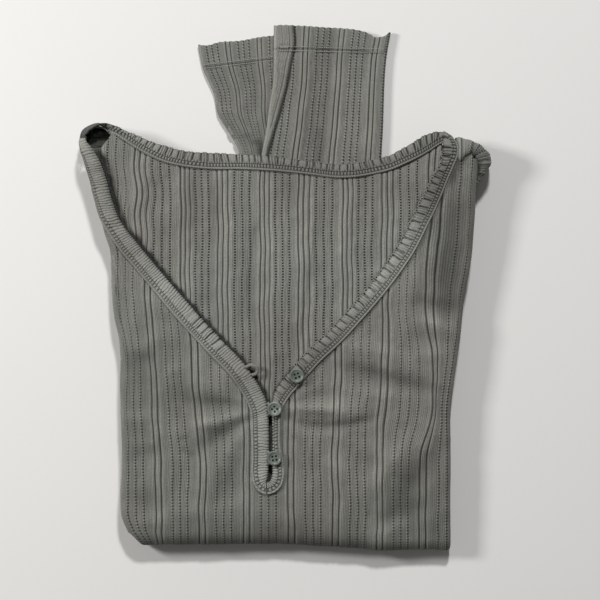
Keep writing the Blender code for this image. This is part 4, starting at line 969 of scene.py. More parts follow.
def front_top(side, place):
    """Y where a line of the front ends at the neck, or at the shoulder."""
    ys = np.linspace(SLOT_Y, ROLL_TOP.get(side, BODY["y"][-1]), TRACE_STEPS)
    xs = section_point(side, place, ys, 0.0)[0]
    if side == "left" or side == "flat" and place <= SLOT_LEFT:
        inside = xs <= through(ys, CUT_LEFT["y"], CUT_LEFT["x"]) + 0.01
    elif side == "right" or place >= SLOT_RIGHT:
        inside = xs >= through(ys, CUT_RIGHT["y"], CUT_RIGHT["x"]) - 0.01
        inside &= ys <= through(xs, SHOULDER_CUT["x"], SHOULDER_CUT["y"])
    else:
        return SLOT_Y
    beyond = np.flatnonzero(~inside)
    return ys[beyond[0] - 1] if len(beyond) else ys[-1]


def front_lines():
    """Lines of the front from left to right: side, and rib line or roll angle."""
    lines = [("left", None)] + [("left", angle) for angle in ROLL_ANGLES]
    flat = rib_lines(FIRST_RIB, RIB_REPEAT, FLAT_LEFT, FLAT_RIGHT,
                     extra=(SLOT_LEFT, SLOT_RIGHT, SHOULDER_LINE))
    lines += [("flat", place) for place in flat]
    lines += [("right", angle) for angle in ROLL_ANGLES[::-1]] + [("right", None)]
    return lines


def cloth_across(side, place):
    """How far across the cloth a line of the front is."""
    if side == "flat":
        return place
    radius = roll_radius(*SIDE_REFERENCE)
    reach = radius * math.pi + TUCK if place is None else radius * place
    return FLAT_LEFT - reach if side == "left" else FLAT_RIGHT + reach


def front_line(side, place):
    """Points of one line of the front, from the neck to the hem, and how far along each is.

    Its upper part lies on the stack, its fold turns about the bottom axis, and its under part
    runs back below to the hem.
    """
    shown = side == "flat" or place is not None and place <= math.pi / 2
    top_y = front_top(side, place) if shown else ROLL_TOP[side]
    relief = float(rib_relief(cloth_across(side, place), FIRST_RIB, RIB_REPEAT, FRONT_RIBS))
    axis = bottom_axis(section_point(side, place, BODY["y"][0], 0.0)[0])
    flap = top_y + (SLOT_Y - top_y) * np.linspace(0, 1, FLAP_ROWS)
    below = SLOT_Y + (axis - SLOT_Y) * np.linspace(0, 1, BELOW_ROWS + 1)[1:]
    y = np.concatenate((flap, below))
    x, depth = section_point(side, place, y, -relief)
    z = front_height(x, y) - depth
    upper = np.stack((x, y, z), axis=1)
    x, depth = section_point(side, place, BODY["y"][0], 0.0)
    edge = through(x, BOTTOM["x"], BOTTOM["y"])
    radius = top_height(x, edge) / 2
    rise = front_height(x, axis) - top_height(x, axis)
    share = np.linspace(0, 1, TURN_ROWS + 1)[1:]
    turn = math.pi * share
    fade = np.clip(FADE_START - FADE_RATE * share, 0.0, 1.0)
    reach = radius - depth + relief * fade + rise * fade
    corner = math.exp(-((x - BODY["left"][0]) / CORNER_REACH) ** 2) * np.sin(turn)
    fold = np.stack((x + LEFT_CORNER * corner, axis - reach * np.sin(turn),
                     radius + reach * np.cos(turn)), axis=1)
    share = np.linspace(0, 1, UNDER_ROWS + 1)[1:]
    y = axis + (HEM_Y - axis) * share
    x, depth = section_point(side, place, y, np.full_like(y, max(-relief, 0.0) * 0.6))
    under = np.stack((x, y, depth), axis=1)
    points = np.concatenate((upper, fold, under))
    along = np.concatenate((upper[:, 1], axis - radius * turn,
                            axis - math.pi * radius - (y - axis)))
    return points, along


def make_front():
    """The front: its face, both rolled sides, the bottom fold and the part turned under."""
    lines = front_lines()
    made = [front_line(side, place) for side, place in lines]
    points = np.stack([line[0] for line in made], axis=1)
    across = np.array([cloth_across(side, place) for side, place in lines])
    along = np.stack([line[1] for line in made], axis=1)
    uv = np.stack((np.broadcast_to(across, along.shape), along), axis=2)
    # Painted shade and painted light of the top face, from its creases and its shaded places.
    shade = front_shade(points[:, :, 0], points[:, :, 1])
    shade = shade * step_up(points[:, :, 2], *SHADE_FROM)
    marks = {"painted_shading": shade, "stretch": stretch_of(points, uv)}
    piece = lay_grid("front", points, uv, marks, flip=True)
    low, high = SLOT_LEFT * MM, SLOT_RIGHT * MM
    slit = SLOT_Y * MM - 1e-5
    above = BODY_HEIGHT / 2 * MM
    drop_faces(piece, lambda middle: low < middle.x < high and middle.y > slit and middle.z > above)
    weld(piece)
    thicken(piece, FRONT_WALL)
    return piece


# ---------------------------------------------------------------- back
BACK_ROWS = 140
BACK_WALL = 1.0
BACK_EDGES = (-141.0, 131.0)    # the outer ribs
BACK_UNDER_BAND = 6.0           # how much further the left corner runs in under its band
BACK_CORNER = (-127.0, -116.0)          # places of the ribs across which that sets in
CORNER_CUT = (-132.6, 122.0, 1.63)      # x, y and slope of the back's top left corner
HALF_BACK = 130.0
FAN = 2.2                       # how far the back's outer ribs lean out at the top
FRONT_CLEAR = 0.9               # least room between the front and the back
BACK_SHOWN = 2.1                # how far the back's face is under the front's
BACK_FOLD_LIMITS = (-1.3, 1.0)
BACK_SHADE_LIMITS = (-0.25, 1.05)
# Painted shadow under the open loop, and painted shade inside the slit.
LOOP_SHADE = (-25.0, -63.0, 2.6, 2.4, 0.8)      # under the open loop: place, reach and depth
SLIT_SHADE = (-11.0, 4.5, 0.9)                  # inside the slit: x, half width and depth

# The painted shadow along each band's free edge: its strength, and its reach at the bottom and at
# the shoulder.
BAND_SHADES = ((BAND_LEFT, 1.5, 2.9, 3.9), (BAND_RIGHT, 0.8, 1.7, 2.1))
SHADE_POINTS = 420
SHADE_STEP = 0.8

# How far each group of the back's ribs lies from its even place across.
BACK_STRAY = table(
    "place aside",
    (-141, 0.0), (-115, 0.0), (-82.2, 1.8), (-49.4, -2.6), (-16.6, -2.2), (16.2, -5.2),
    (49, -3.4), (81.8, -6.2), (114.6, -3.0), (131, 0.0),
)


def back_stray(across):
    """How far a rib of the back lies from its even place."""
    return np.interp(across, BACK_STRAY["place"], BACK_STRAY["aside"])


def back_height(x, y):
    """Height of the back's plain face, under the front."""
    inside = crease_height(x, y, BACK_CREASES) + unevenness(y, x)
    return top_height(x, y) - BACK_SHOWN + np.clip(inside, *BACK_FOLD_LIMITS)


def painted_shadow_on_back(x, y):
    """How deep the painted shadow is at a place of the back, from the bands and the loop that lie
    over it, and inside the slit.
    """
    slit_x, slit_half, slit_depth = SLIT_SHADE
    deepest = slit_depth * hump(x, slit_x, slit_half) * (1 - step_up(y, -100.0, -92.0))
    deepest = np.maximum(deepest, mounds(x, y, table("x y reach_x reach_y depth", LOOP_SHADE)))
    for rows, strength, near, far in BAND_SHADES:
        line = smooth_rail([rows["free_x"], rows["free_y"]], SHADE_POINTS)
        at = np.arange(len(line)) * SHADE_STEP
        ragged = 1 + 0.2 * np.sin(at / 1.3) + 0.2 * np.sin(at / 2.9 + 1.0)
        reach = (near + (far - near) * step_up(line[:, 1], -30.0, 50.0)) * ragged
        for number in range(len(line)):
            off = np.hypot(x - line[number, 0], y - line[number, 1])
            deepest = np.maximum(deepest, strength * np.exp(-(off / reach[number]) ** 4))
    return deepest


def make_back():
    """The back, from under the front up to its band, with its ribs straight up."""
    seam = smooth_rail([BAND_BACK["seam_x"], BAND_BACK["seam_y"]], 200)
    ahead = seam[:, 0] > BACK_EDGES[0]
    top_x, top_y = seam[ahead, 0], seam[ahead, 1]
    places = rib_lines(FIRST_BACK_RIB - BACK_RIB_REPEAT, BACK_RIB_REPEAT, *BACK_EDGES, BACK_LINES)
    places = np.array(places)
    lowest = np.maximum(np.interp(-places, BACK_LOW_LEFT["out"], BACK_LOW_LEFT["y"]),
                        np.interp(places, BACK_LOW_RIGHT["out"], BACK_LOW_RIGHT["y"]))
    under = step_up(places, *BACK_CORNER)
    spread = places + back_stray(places) + FAN * (places / HALF_BACK) ** 3
    highest = through(spread, top_x, top_y) + 0.8 + BACK_UNDER_BAND * under
    highest = np.minimum(highest, CORNER_CUT[1] + (places - CORNER_CUT[0]) * CORNER_CUT[2])
    highest = np.minimum(highest, np.interp(places, BACK_HIGH_RIGHT["x"], BACK_HIGH_RIGHT["y"]))
    level = np.linspace(0, 1, BACK_ROWS)[:, None] ** 0.8
    y = lowest + (highest - lowest) * level
    across = np.broadcast_to(places, y.shape)
    fan = FAN * (across / HALF_BACK) ** 3 * np.clip((y + 20) / HALF_BACK, 0.0, 1.0)
    wobble = 0.8 * np.sin(y / 6.1 + across / 24.0) * step_up(-across, 80.0, 104.0)
    wobble = wobble * step_up(y, 20.0, 60.0)
    wobble = wobble + 0.4 * np.sin(y / 13.0 + across / 27.0) + 0.2 * np.sin(y / 5.2 - across / 9.0)
    x = across + back_stray(across) + fan + wobble
    relief = rib_relief(across, FIRST_BACK_RIB, BACK_RIB_REPEAT, BACK_RIBS)
    z = back_height(x, y) + relief * step_up(y, RIB_END_Y - 8, RIB_END_Y)
    covered = (x < through(y, CUT_LEFT["y"], CUT_LEFT["x"])) | (y < SLOT_Y)
    covered = covered | (x > through(y, CUT_RIGHT["y"], CUT_RIGHT["x"]))
    room = front_height(x, y) - FRONT_WALL - FRONT_CLEAR
    z = np.where(covered, np.minimum(z, room), z)
    points = np.stack((x, y, z), axis=2)
    uv = np.stack((across, y), axis=2)
    # Painted shadow of the bands and the loop, painted shade inside the slit, and painted shade and
    # light of the creases.
    shade = painted_shadow_on_back(x, y) - BACK_SHADE_RISE * crease_height(x, y, BACK_CREASES)
    marks = {"painted_shading": np.clip(shade, *BACK_SHADE_LIMITS), "stretch": stretch_of(points, uv)}
    piece = lay_grid("back", points, uv, marks)
    thicken(piece, BACK_WALL)
    return piece


# ---------------------------------------------------------------- neck band
BAND_STEP = 0.33                # along the band, between two rings of its mesh

# Cross-section of the band: share of its width from the seam, height over its base.
BAND_FORM = table(
    "share height",
    (0.0, -0.45), (0.015, 0.6), (0.04, 1.1), (0.12, 1.2), (0.28, 1.3), (0.42, 1.3),
    (0.55, 1.6), (0.70, 1.8), (0.86, 1.7), (0.95, 1.3), (1.0, 0.7),
)
BAND_SHARES = np.concatenate((np.linspace(0.0, 0.44, 26), np.linspace(0.46, 1.0, 21)))
BAND_BELOW = ((0.99, 0.4), (0.93, 0.1), (0.6, 0.0), (0.3, 0.0), (0.05, -0.3))
LIP = (1.05, 0.62)              # middle and half width of the corded lip, from the seam
BLOCKS = (3.45, 0.95)           # the same for the row of blocks
# Painted shade darkens the furrowed lines beside the lip and the blocks.
FURROWS = ((2.15, 0.75), (4.75, 0.9))           # place and darkness of the lines beside them
FURROW_HALF = 0.3
FURROW_DEPTH = 0.4
LIP_RISE = 0.30
LIP_PITCH = 1.9
BLOCK_RISE = 0.45
BLOCK_PITCH = 2.4
CORDS_FROM = 4.9                # where the cords of the free edge begin, from the seam
CORD_PITCH = 2.1
CORD_RISE = 0.8
LOBE_RISE = 0.9
EDGE_HEIGHT = 0.7               # most that the very edge stands over the band's base
# Limits of the band's painted shade, and of its painted light below zero.
BAND_DARKEST = 0.97
BAND_LIGHTEST = -0.2

# Between which places in y each front band's edge has lobes, and gets painted shade at the
# shoulder. The bands end before the place in PAST_END, so the left one gets it nowhere.
PAST_END = (130.0, 140.0)
LEFT_LOBES = ((-58.0, -50.0), (-34.0, -22.0))
RIGHT_LOBES = ((-96.0, -80.0), PAST_END)
LEFT_DIMMED = (PAST_END, PAST_END)
RIGHT_DIMMED = ((48.0, 84.0), (112.0, 120.0))
BAND_DIM = 0.36


def sewn_rows(out, along, shift):
    """Rise and painted shade of the corded lip beside the seam and of the row of blocks."""
    twist = 0.5 + 0.5 * np.cos(math.tau * (along + 0.7 * out) / LIP_PITCH)
    lip = np.exp(-((out - LIP[0]) / LIP[1]) ** 4)
    bead = np.clip(0.75 + 1.3 * np.cos(math.tau * shift / BLOCK_PITCH), 0.0, 1.0)
    row = np.exp(-((out - BLOCKS[0]) / BLOCKS[1]) ** 4)
    rise = lip * (LIP_RISE + 0.22 * twist) + row * BLOCK_RISE * (bead - 0.4)
    painted_shading = lip * (0.6 * (1 - twist) ** 1.5 - 0.12) + 0.85 * row * (1 - bead)
    for line, dark in FURROWS:
        rise = rise - FURROW_DEPTH * hump(out, line, FURROW_HALF)
        painted_shading = painted_shading + dark * (0.65 + 0.35 * (1 - bead)) * hump(out, line, FURROW_HALF)
    return rise, painted_shading


def band_relief(share, along, scallop, width, lobed):
    """Height over the band's base, how far its edge reaches, and its painted shade.

    Outside the sewn rows are the lobes of the scalloped edge. Some lobes are gathered into
    cords, the others are puffed out and almost smooth. Where lobed is 0 there are cords alone.
    """
    out = share * width
    shift = along + 0.9 * np.sin(along / 11.3) + 0.6 * np.sin(along / 4.7 + 1.0)
    shift = shift + (share - 0.5) * (1.3 * np.sin(along / 17.0) + 0.7 * np.sin(along / 5.9))
    rise, painted_shading = sewn_rows(out, along, shift)
    height = through(share, BAND_FORM["share"], BAND_FORM["height"]) + rise
    number = np.floor(shift / scallop)
    middle = 2 * (shift / scallop - number) - 1
    narrow = 0.9 + 0.1 * np.sin(3.1 * number)
    smooth = step_up(np.sin(2.4 * number + 0.6 * scallop), 0.1, 0.3) * lobed
    lobe = 1 - lobed * (1 - np.sqrt(np.clip(1 - (middle / narrow) ** 4, 0.0, 1.0)))
    phase = (shift / CORD_PITCH + 0.12 * np.sin(0.7 * out + 1.7 * np.floor(shift / 4.7))) % 1.0
    cord = np.sqrt(np.clip(1 - (2 * phase - 1) ** 2, 0.0, 1.0))
    depth = 0.8 + 0.2 * np.sin(along / 2.3)
    corded = step_up(out, CORDS_FROM - 0.3, CORDS_FROM + 0.3)
    outer = step_up(out, CORDS_FROM, CORDS_FROM + 2.0)
    gather = 1 - depth * (1 - cord) * (1 - 0.8 * smooth * outer)
    swell = lobe * outer + (1 - outer) * (0.35 + 0.65 * cord)
    rim = step_up(share, 0.86, 1.0)
    height = height + corded * (CORD_RISE * (gather - 0.75) + LOBE_RISE * (swell - 0.8))
    height = np.where(share >= 0.999, np.minimum(height, EDGE_HEIGHT), height)
    # Painted shade between the cords and the lobes and along the rim.
    painted_shading = painted_shading + corded * (0.9 * (1 - gather) ** 0.9 + 0.7 * (1 - swell) ** 1.1 - 0.12)
    painted_shading = painted_shading + 0.3 * rim * corded
    fray = 0.9 * (cord - 0.5) * (1 - smooth)
    reach = share * (1 + (1.1 * (lobe - 0.8) + fray) * share ** 4 / width)
    return height, reach, np.clip(painted_shading, BAND_LIGHTEST, BAND_DARKEST)


def sweep_band(name, seam, free, arch, up, scallop, flip, lobed, ending=0.0, shaded=0.0,
               dim=0.0):
    """The band between its seam and its scalloped edge, with its cords and stitch rows.

    Over the last `ending` millimetres it thins to lie flush with the band that goes on. The
    first `shaded` millimetres get painted shade, and `dim` is how much painted shade each
    station gets where it turns away from the light.
    """
    ahead = np.gradient((seam + free) / 2, axis=0)
    across = free - seam
    normal = np.cross(across, ahead)
    normal *= up / np.linalg.norm(normal, axis=1)[:, None]
    along = distance_along(seam * 0.35 + free * 0.65)[:, None]
    width = np.linalg.norm(across, axis=1)[:, None]
    share = BAND_SHARES[None, :]
    height, reach, painted_shading = band_relief(share, along, scallop, width, lobed[:, None])
    if ending:
        height = height * (1 - 0.75 * step_up(along, along[-1] - ending, along[-1]))
    if shaded:
        dark = 1 - step_up(along, shaded - 10, shaded)
        painted_shading = np.minimum(painted_shading + 0.6 * dark, BAND_DARKEST)
    painted_shading = np.minimum(painted_shading * (1 + 0.8 * dim) + dim * (0.4 + 0.6 * share), BAND_DARKEST)
    height = height + 4 * share * (1 - share) * arch[:, None]
    shares, heights = zip(*BAND_BELOW)
    below_reach = np.broadcast_to(np.array(shares), (len(seam), len(shares)))
    below_height = np.array(heights) + 4 * below_reach * (1 - below_reach) * arch[:, None]
    reach = np.concatenate((reach, below_reach, reach[:, :1]), axis=1)
    height = np.concatenate((height, below_height, height[:, :1]), axis=1)
    rim = np.repeat(painted_shading[:, -1:], len(shares), axis=1)
    painted_shading = np.concatenate((painted_shading, rim, painted_shading[:, :1]), axis=1)
    points = (seam[:, None, :] + across[:, None, :] * reach[:, :, None]
              + normal[:, None, :] * height[:, :, None])
    uv = np.stack((reach * width, np.broadcast_to(along, reach.shape)), axis=2)
    piece = lay_grid(name, points, uv, {"painted_shading": painted_shading}, flip=flip)
    weld(piece)
    close_ends(piece)
    return piece


def band_rail(rows, names):
    """Stations of a band, close enough for its cords."""
    free = np.hypot(np.diff(rows["free_x"]), np.diff(rows["free_y"])).sum()
    seam = np.hypot(np.diff(rows["seam_x"]), np.diff(rows["seam_y"])).sum()
    return smooth_rail([rows[key] for key in names.split()], int((free + seam) / 2 / BAND_STEP))


def make_front_band(name, rows, lobes, dimmed, up, scallop, flip, ending=0.0):
    """A band that lies on the front beside the neck and the slit.

    `lobes` and `dimmed` are places in y: where its edge has lobes, and where it is painted darker.
    """
    rail = band_rail(rows, "seam_x seam_y seam_lift free_x free_y free_lift arch")
    seam, free = rail[:, 0:3].copy(), rail[:, 3:6].copy()
    for edge in (seam, free):
        edge[:, 2] += front_height(edge[:, 0], edge[:, 1]) + BAND_LIFT
    arch = np.maximum(rail[:, 6], 0.0)
    lobed = between(seam[:, 1], *lobes)
    dim = BAND_DIM * between(seam[:, 1:2], *dimmed)
    return sweep_band(name, seam, free, arch, up, scallop, flip, lobed, ending, dim=dim)


def make_back_band():
    """The band of the back neck, which turns down round the left shoulder."""
    rows = dict(BAND_BACK)
    for edge in ("seam", "free"):
        lying = top_height(rows[edge + "_x"], rows[edge + "_y"]) - BACK_SHOWN + BAND_LIFT
        rows[edge + "_z"] = np.where(rows[edge + "_z"] > 0.0, rows[edge + "_z"], lying)
    rail = band_rail(rows, "seam_x seam_y seam_z free_x free_y free_z")
    # Painted shade over all the back band, more towards its right end; the part that stands up
    # round the left shoulder gets more over its first 34 mm.
    dim = 0.12 + 0.26 * step_up(rail[:, 0:1], 84.0, 112.0)
    return sweep_band("band_back", rail[:, 0:3], rail[:, 3:6], np.zeros(len(rail)), -1.0,
                      scallop=5.5, flip=True, lobed=np.ones(len(rail)), shaded=34.0, dim=dim)


# ---------------------------------------------------------------- sleeve heads
FOLD_DROP = 1.2
HEAD_STEP = 0.4                 # round the shoulder, between two rings of the mesh
HEAD_POINTS = 56                # points of one ring, from the table to the inside
HEAD_GROOVE = 2.3               # round the shoulder, between two of its fine grooves
HEAD_WAVE = 9.0
HEAD_DARKEST = 0.9


def inset_line(points, depth):
    """The same open line, moved by `depth` to its right."""
    ahead = direction(points)
    return points + depth * np.stack([ahead[:, 1], -ahead[:, 0]], axis=1)


def make_head(name, rows, overlap):
    """A sleeve head that stands on the table round a shoulder and folds in over it."""
    length = np.hypot(np.diff(rows["out_x"]), np.diff(rows["out_y"])).sum()
    count = int(length / HEAD_STEP)
    rail = smooth_rail(list(rows.values()), count)
    rings, places, painted_shadings = [], [], []
    for number, (out_x, out_y, in_x, in_y, top) in enumerate(rail):
        reach = math.hypot(in_x - out_x, in_y - out_y)
        # Section of the head: distance in from its outer edge, and height.
        form = [(6.0, 0.0), (2.2, 0.0), (0.9, 0.12 * top), (0.0, 0.42 * top), (0.1, 0.74 * top)]
        if overlap:
            form += [(0.16 * reach, 0.93 * top), (0.5 * reach, top), (reach, top - FOLD_DROP),
                     (reach + 1.6, top - 3.4), (reach + 2.6, top - 7.0)]
        else:
            form += [(0.6, top)]
        line = smooth_rail(list(np.array(form).T), HEAD_POINTS)
        at = number * HEAD_STEP
        ripple = math.sin(at * math.tau / HEAD_GROOVE)
        wave = 0.18 * ripple + 0.34 * math.sin(at * math.tau / HEAD_WAVE)
        line = inset_line(line, -wave * 0.8)
        line[:, 1] = np.maximum(line[:, 1], 0.0)
        share = line[:, 0] / reach
        rings.append(np.stack([out_x + (in_x - out_x) * share, out_y + (in_y - out_y) * share,
                               line[:, 1]], axis=1))
        places.append(np.stack((np.full(HEAD_POINTS, at), distance_along(line)), axis=1))
        # Painted shade: darker on the inner side of the fold, where the front's edge shades it, and
        # in its fine grooves.
        inner = step_up(share, 0.35, 0.95) * (1 - step_up(out_y, 99.0, 106.0)) * overlap
        groove = 0.12 * (1 - ripple) * step_up(share, -0.1, 0.2)
        painted_shadings.append(np.clip(0.8 * inner + groove, 0.0, HEAD_DARKEST))
    points, uv = np.array(rings), np.array(places)
    piece = lay_grid(name, points, uv, {"painted_shading": np.array(painted_shadings)})
    thicken(piece, CLOTH)
    return piece


# ---------------------------------------------------------------- sleeves
SLEEVE_GROOVE = 0.262           # share of the width at the first groove
SLEEVE_REPEAT = 0.304           # share of the width from one repeat to the next
# The left edge's underside gives way to the right edge's between these shares of the width.
SLEEVE_FALL = ((0.0, 0.30, 0.52, 1.0), (0.0, 0.0, 1.0, 1.0))
SLEEVE_ROWS = 84
SLEEVE_LINES = 190
SLEEVE_BELOW_LINES = 14
SLEEVE_STRETCH = 0.85           # width of the laid cloth for each of its flat width
FRAY = 26.0                     # depth of cloth that a hem's outline moves with it
HEM_FLATTER = 0.35              # share of the ribs' relief that the double hem takes away
HEM_RISE = 0.45
STITCH_DENT = 0.4
SLEEVE_SHADE_LIMITS = (-0.35, 0.95)

# How far each hem's edge reaches past its straight line, across the sleeve.
EDGE_LEFT = table(
    "share reach",
    (0.0, 0.6), (0.08, -0.8), (0.2, 0.4), (0.4, -0.6), (0.6, 0.2), (0.8, -0.2), (1.0, 0.4),
)
EDGE_RIGHT = table(
    "share reach",
    (0.0, 1.2), (0.06, 1.6), (0.2, 1.8), (0.4, 1.6), (0.6, 1.6), (0.7, 0.9), (0.8, -1.2),
    (0.88, -4.6), (0.925, -4.4), (0.97, -1.6), (1.0, 0.0),
)

# The turned seam along the left side of the right sleeve: y, and x of its loose edge. It lies
# higher than the sleeve and is painted a little lighter, with a painted shadow beside its edge
# and a line of painted shade along its middle.
SEAM_FOLD = table(
    "y x",
    (96, -16.5), (104.9, -14), (120.7, -9.5), (135.6, -5.1), (151.2, -0.9), (158, 0.9),
    (179, 4.7), (190.7, 7.3), (206, 6.2),
)
FOLD_RISE = 2.2
FOLD_LINE = 1.9                 # from one of the fold's fine ribs to the next
# Painted shadow past the fold's edge, and painted shade along its middle.
BESIDE_FOLD = (1.0, 0.9)        # middle and half width of the shade past its edge
ON_FOLD = (-3.2, 0.5)           # the same for the line along its middle

# Creases of the sleeve ends, and their painted shade and painted light, in the terms of the
# front's.
SLEEVE_CREASES = {
    "sleeve_right_end": table(
        "x y length width turn bow rise",
        (22, 168, 26, 3.0, 82, 1.0, 0.35), (44, 150, 26, 3.6, 94, -1.0, 0.3),
        (60, 172, 22, 4.2, 86, 1.0, -0.4), (30, 126, 18, 3.5, 80, 0.0, -0.35),
        (70, 132, 22, 4.0, 92, 0.0, 0.35), (14, 132, 20, 3.0, 76, 0.0, 0.3),
    ),
    "sleeve_left_end": table(
        "x y length width turn bow rise",
        (-38, 160, 24, 3.6, 112, 1.0, 0.5), (-24, 146, 24, 4.0, 100, 1.0, -0.6),
        (-12, 168, 22, 3.2, 100, 1.0, 0.5), (-48, 152, 18, 3.0, 116, 0.0, -0.4),
        (-30, 128, 16, 4.0, 96, 0.0, -0.6), (-22, 132, 14, 3.0, 92, 0.0, 0.5),
    ),
}
SLEEVE_SHADES = {
    "sleeve_right_end": table(
        "x y reach_x reach_y depth",
        (-1.0, 189.0, 3.0, 3.4, 0.5), (-9.5, 187.0, 1.6, 4.0, 0.35), (62, 186, 10, 4, 0.16),
        (20, 150, 16, 12, -0.14), (60, 120, 16, 10, -0.12), (34, 168, 8, 16, -0.10),
    ),
    "sleeve_left_end": table(
        "x y reach_x reach_y depth",
        (-18.8, 108.5, 2.4, 8.5, 0.9), (-23.5, 115.5, 4.4, 2.6, 0.5), (-29.0, 120.8, 5.0, 2.2, 0.4),
        (-35.0, 112.0, 5.0, 7.0, -0.20), (-14.0, 132.0, 2.4, 14.0, 0.35), (-44, 140, 8, 10, -0.12),
        (-24, 152, 3.0, 12.0, 0.20), (-54, 182, 10, 4, -0.15),
    ),
}


def sleeve_stations(length):
    """Distances from the hem's edge of the rings of a sleeve, closest round its stitches."""
    return np.concatenate(([0.0, 0.4, 1.0], np.linspace(2.0, HEM_DEPTH - 0.9, 9),
                           (HEM_DEPTH - 0.4, HEM_DEPTH, HEM_DEPTH + 0.5),
                           np.linspace(HEM_DEPTH + 1.2, length, SLEEVE_ROWS)))


def turned_seam(past):
    """Rise, painted shade and cover of the turned seam, at a distance past its loose edge; where it
    lies it is painted lighter.
    """
    lying = 1.0 - step_up(past, -0.9, 0.5)
    rise = FOLD_RISE * lying - 0.5 * hump(past, 1.1, 0.8)
    rise = rise - 0.5 * hump(past, -3.2, 0.6) * lying
    rise = rise + 0.2 * lying * np.cos(math.tau * past / FOLD_LINE)
    dark = 0.95 * hump(past, *BESIDE_FOLD) + 0.35 * hump(past, *ON_FOLD) - 0.14 * lying
    return rise, dark, lying


def make_sleeve(name, rows, edge_form, seam_fold):
    """A flat sleeve end: a tube with its hem, its ribs and its turned seam."""
    knots = distance_along(np.column_stack((rows["left_x"], rows["left_y"])))
    radius = SLEEVE_THICKNESS / 2
    sides = np.radians(np.linspace(-80, 80, 9))
    top = np.linspace(0.035, 0.965, SLEEVE_LINES)
    below = np.linspace(0.95, 0.05, SLEEVE_BELOW_LINES)
    height = np.concatenate((radius + radius * np.sin(sides), np.full(len(top), 2 * radius),
                             radius + radius * np.sin(sides[::-1]), np.zeros(len(below))))
    upper = np.zeros(len(height))
    upper[len(sides):len(sides) + len(top)] = 1.0
    grid, uv, painted_shadings, plains = [], [], [], []
    for at in sleeve_stations(knots[-1]):
        left_x, left_y, right_x, right_y, left_base, right_base = (
            through(at, knots, column) for column in rows.values())
        left, right = np.array((left_x, left_y)), np.array((right_x, right_y))
        width = np.linalg.norm(right - left)
        ahead = np.array((right_y - left_y, left_x - right_x)) / width
        hem = 1.0 - step_up(at, HEM_DEPTH - 0.5, HEM_DEPTH + 0.5)
        edge = 1.0 - step_up(at, 0.0, 1.2)
        stitched = hump(at, HEM_DEPTH, 0.8)
        share = np.concatenate(((radius - radius * np.cos(sides)) / width, top,
                                1 - (radius - radius * np.cos(sides[::-1])) / width, below))
        across = (share - SLEEVE_GROOVE) / SLEEVE_REPEAT * RIB_REPEAT
        relief = (1 - HEM_FLATTER * hem) * rib_relief(across, 0.0, RIB_REPEAT, FRONT_RIBS)
        relief = relief + HEM_RISE * (hem - edge) - STITCH_DENT * stitched
        # Painted shade in the dent of the stitch line.
        painted_shading = 0.4 * stitched + 0.0 * share
        plain = 0.0 * share
        if seam_fold:
            loose = through(left_y, SEAM_FOLD["y"], SEAM_FOLD["x"]) - left_x
            rise, dark, lying = turned_seam(share * width - loose)
            relief = relief + rise
            painted_shading = painted_shading + dark
            plain = lying * upper
        fall = np.interp(share, *SLEEVE_FALL)
        stray = through(share, edge_form["share"], edge_form["reach"])
        stray = stray + 0.22 * np.cos(math.tau * across / HOLE_SPACING)
        stray = stray * max(1.0 - at / FRAY, 0.0)
        xy = left + (right - left) * share[:, None] + ahead * -stray[:, None]
        x, y = xy.T
        lift = left_base + (right_base - left_base) * fall
        over = upper * (1 - 0.5 * hem)
        z = lift + height + upper * relief + over * crease_height(x, y, SLEEVE_CREASES[name])
        z = z + over * 0.6 * unevenness(x * 1.6, y * 1.6)
        # Painted shade and painted light of the top face.
        painted_shading = painted_shading + upper * mounds(x, y, SLEEVE_SHADES[name])
        for kept, ring in ((grid, np.column_stack((xy, np.maximum(z, 0.0)))),
                           (uv, np.column_stack((across, np.full(len(x), at)))),
                           (painted_shadings, painted_shading), (plains, plain)):
            kept.append(np.concatenate((ring, ring[:1])))
    painted_shadings = np.clip(np.array(painted_shadings), *SLEEVE_SHADE_LIMITS)
    marks = {"painted_shading": painted_shadings, "plain": np.array(plains),
             "stretch": np.full(painted_shadings.shape, SLEEVE_STRETCH)}
    piece = lay_grid(name, np.array(grid), np.array(uv), marks, flip=True)
    weld(piece)
    thicken(piece, CLOTH)
    return piece


# ---------------------------------------------------------------- hidden layers
LOW_FACE = FRONT_CLOTH + LAYER_GAP      # underside of the layers
BACK_ROOM = 2.8                 # room that the layers leave for the back
TOP_DEPTH = BACK_DEPTH + BACK_ROOM + 2 * LAYER_GAP
SIDE_CLEAR = FRONT_CLOTH + LAYER_GAP + 0.6
SIDE_TOP = 76.0
LAYER_PITCH = 3.1               # thickness of one folded layer at the edge
WEB_GAP = 1.4                   # from a rolled side's tucked edge to the layers beside it
LAYER_LEVELS = 34
WEB_SHARES = (0.055, 0.2)       # how far above and below the middle the layers draw in
HIGH_FROM = 0.60                # share of the height where the outline of the upper layers sets in
MOUTH_TO = 0.72                 # and where the opening for the sleeves ends
SIDE_POINTS = 60
TONGUE_POINTS = 30              # along the bottom fold
INNER_Y = 80.0
INNER_X = 115.0                 # the shoulders' layers draw in towards this place on each side
# Painted shade over all of the hidden layers, for the pit of the left shoulder where they show.
LAYER_DARKNESS = 0.55


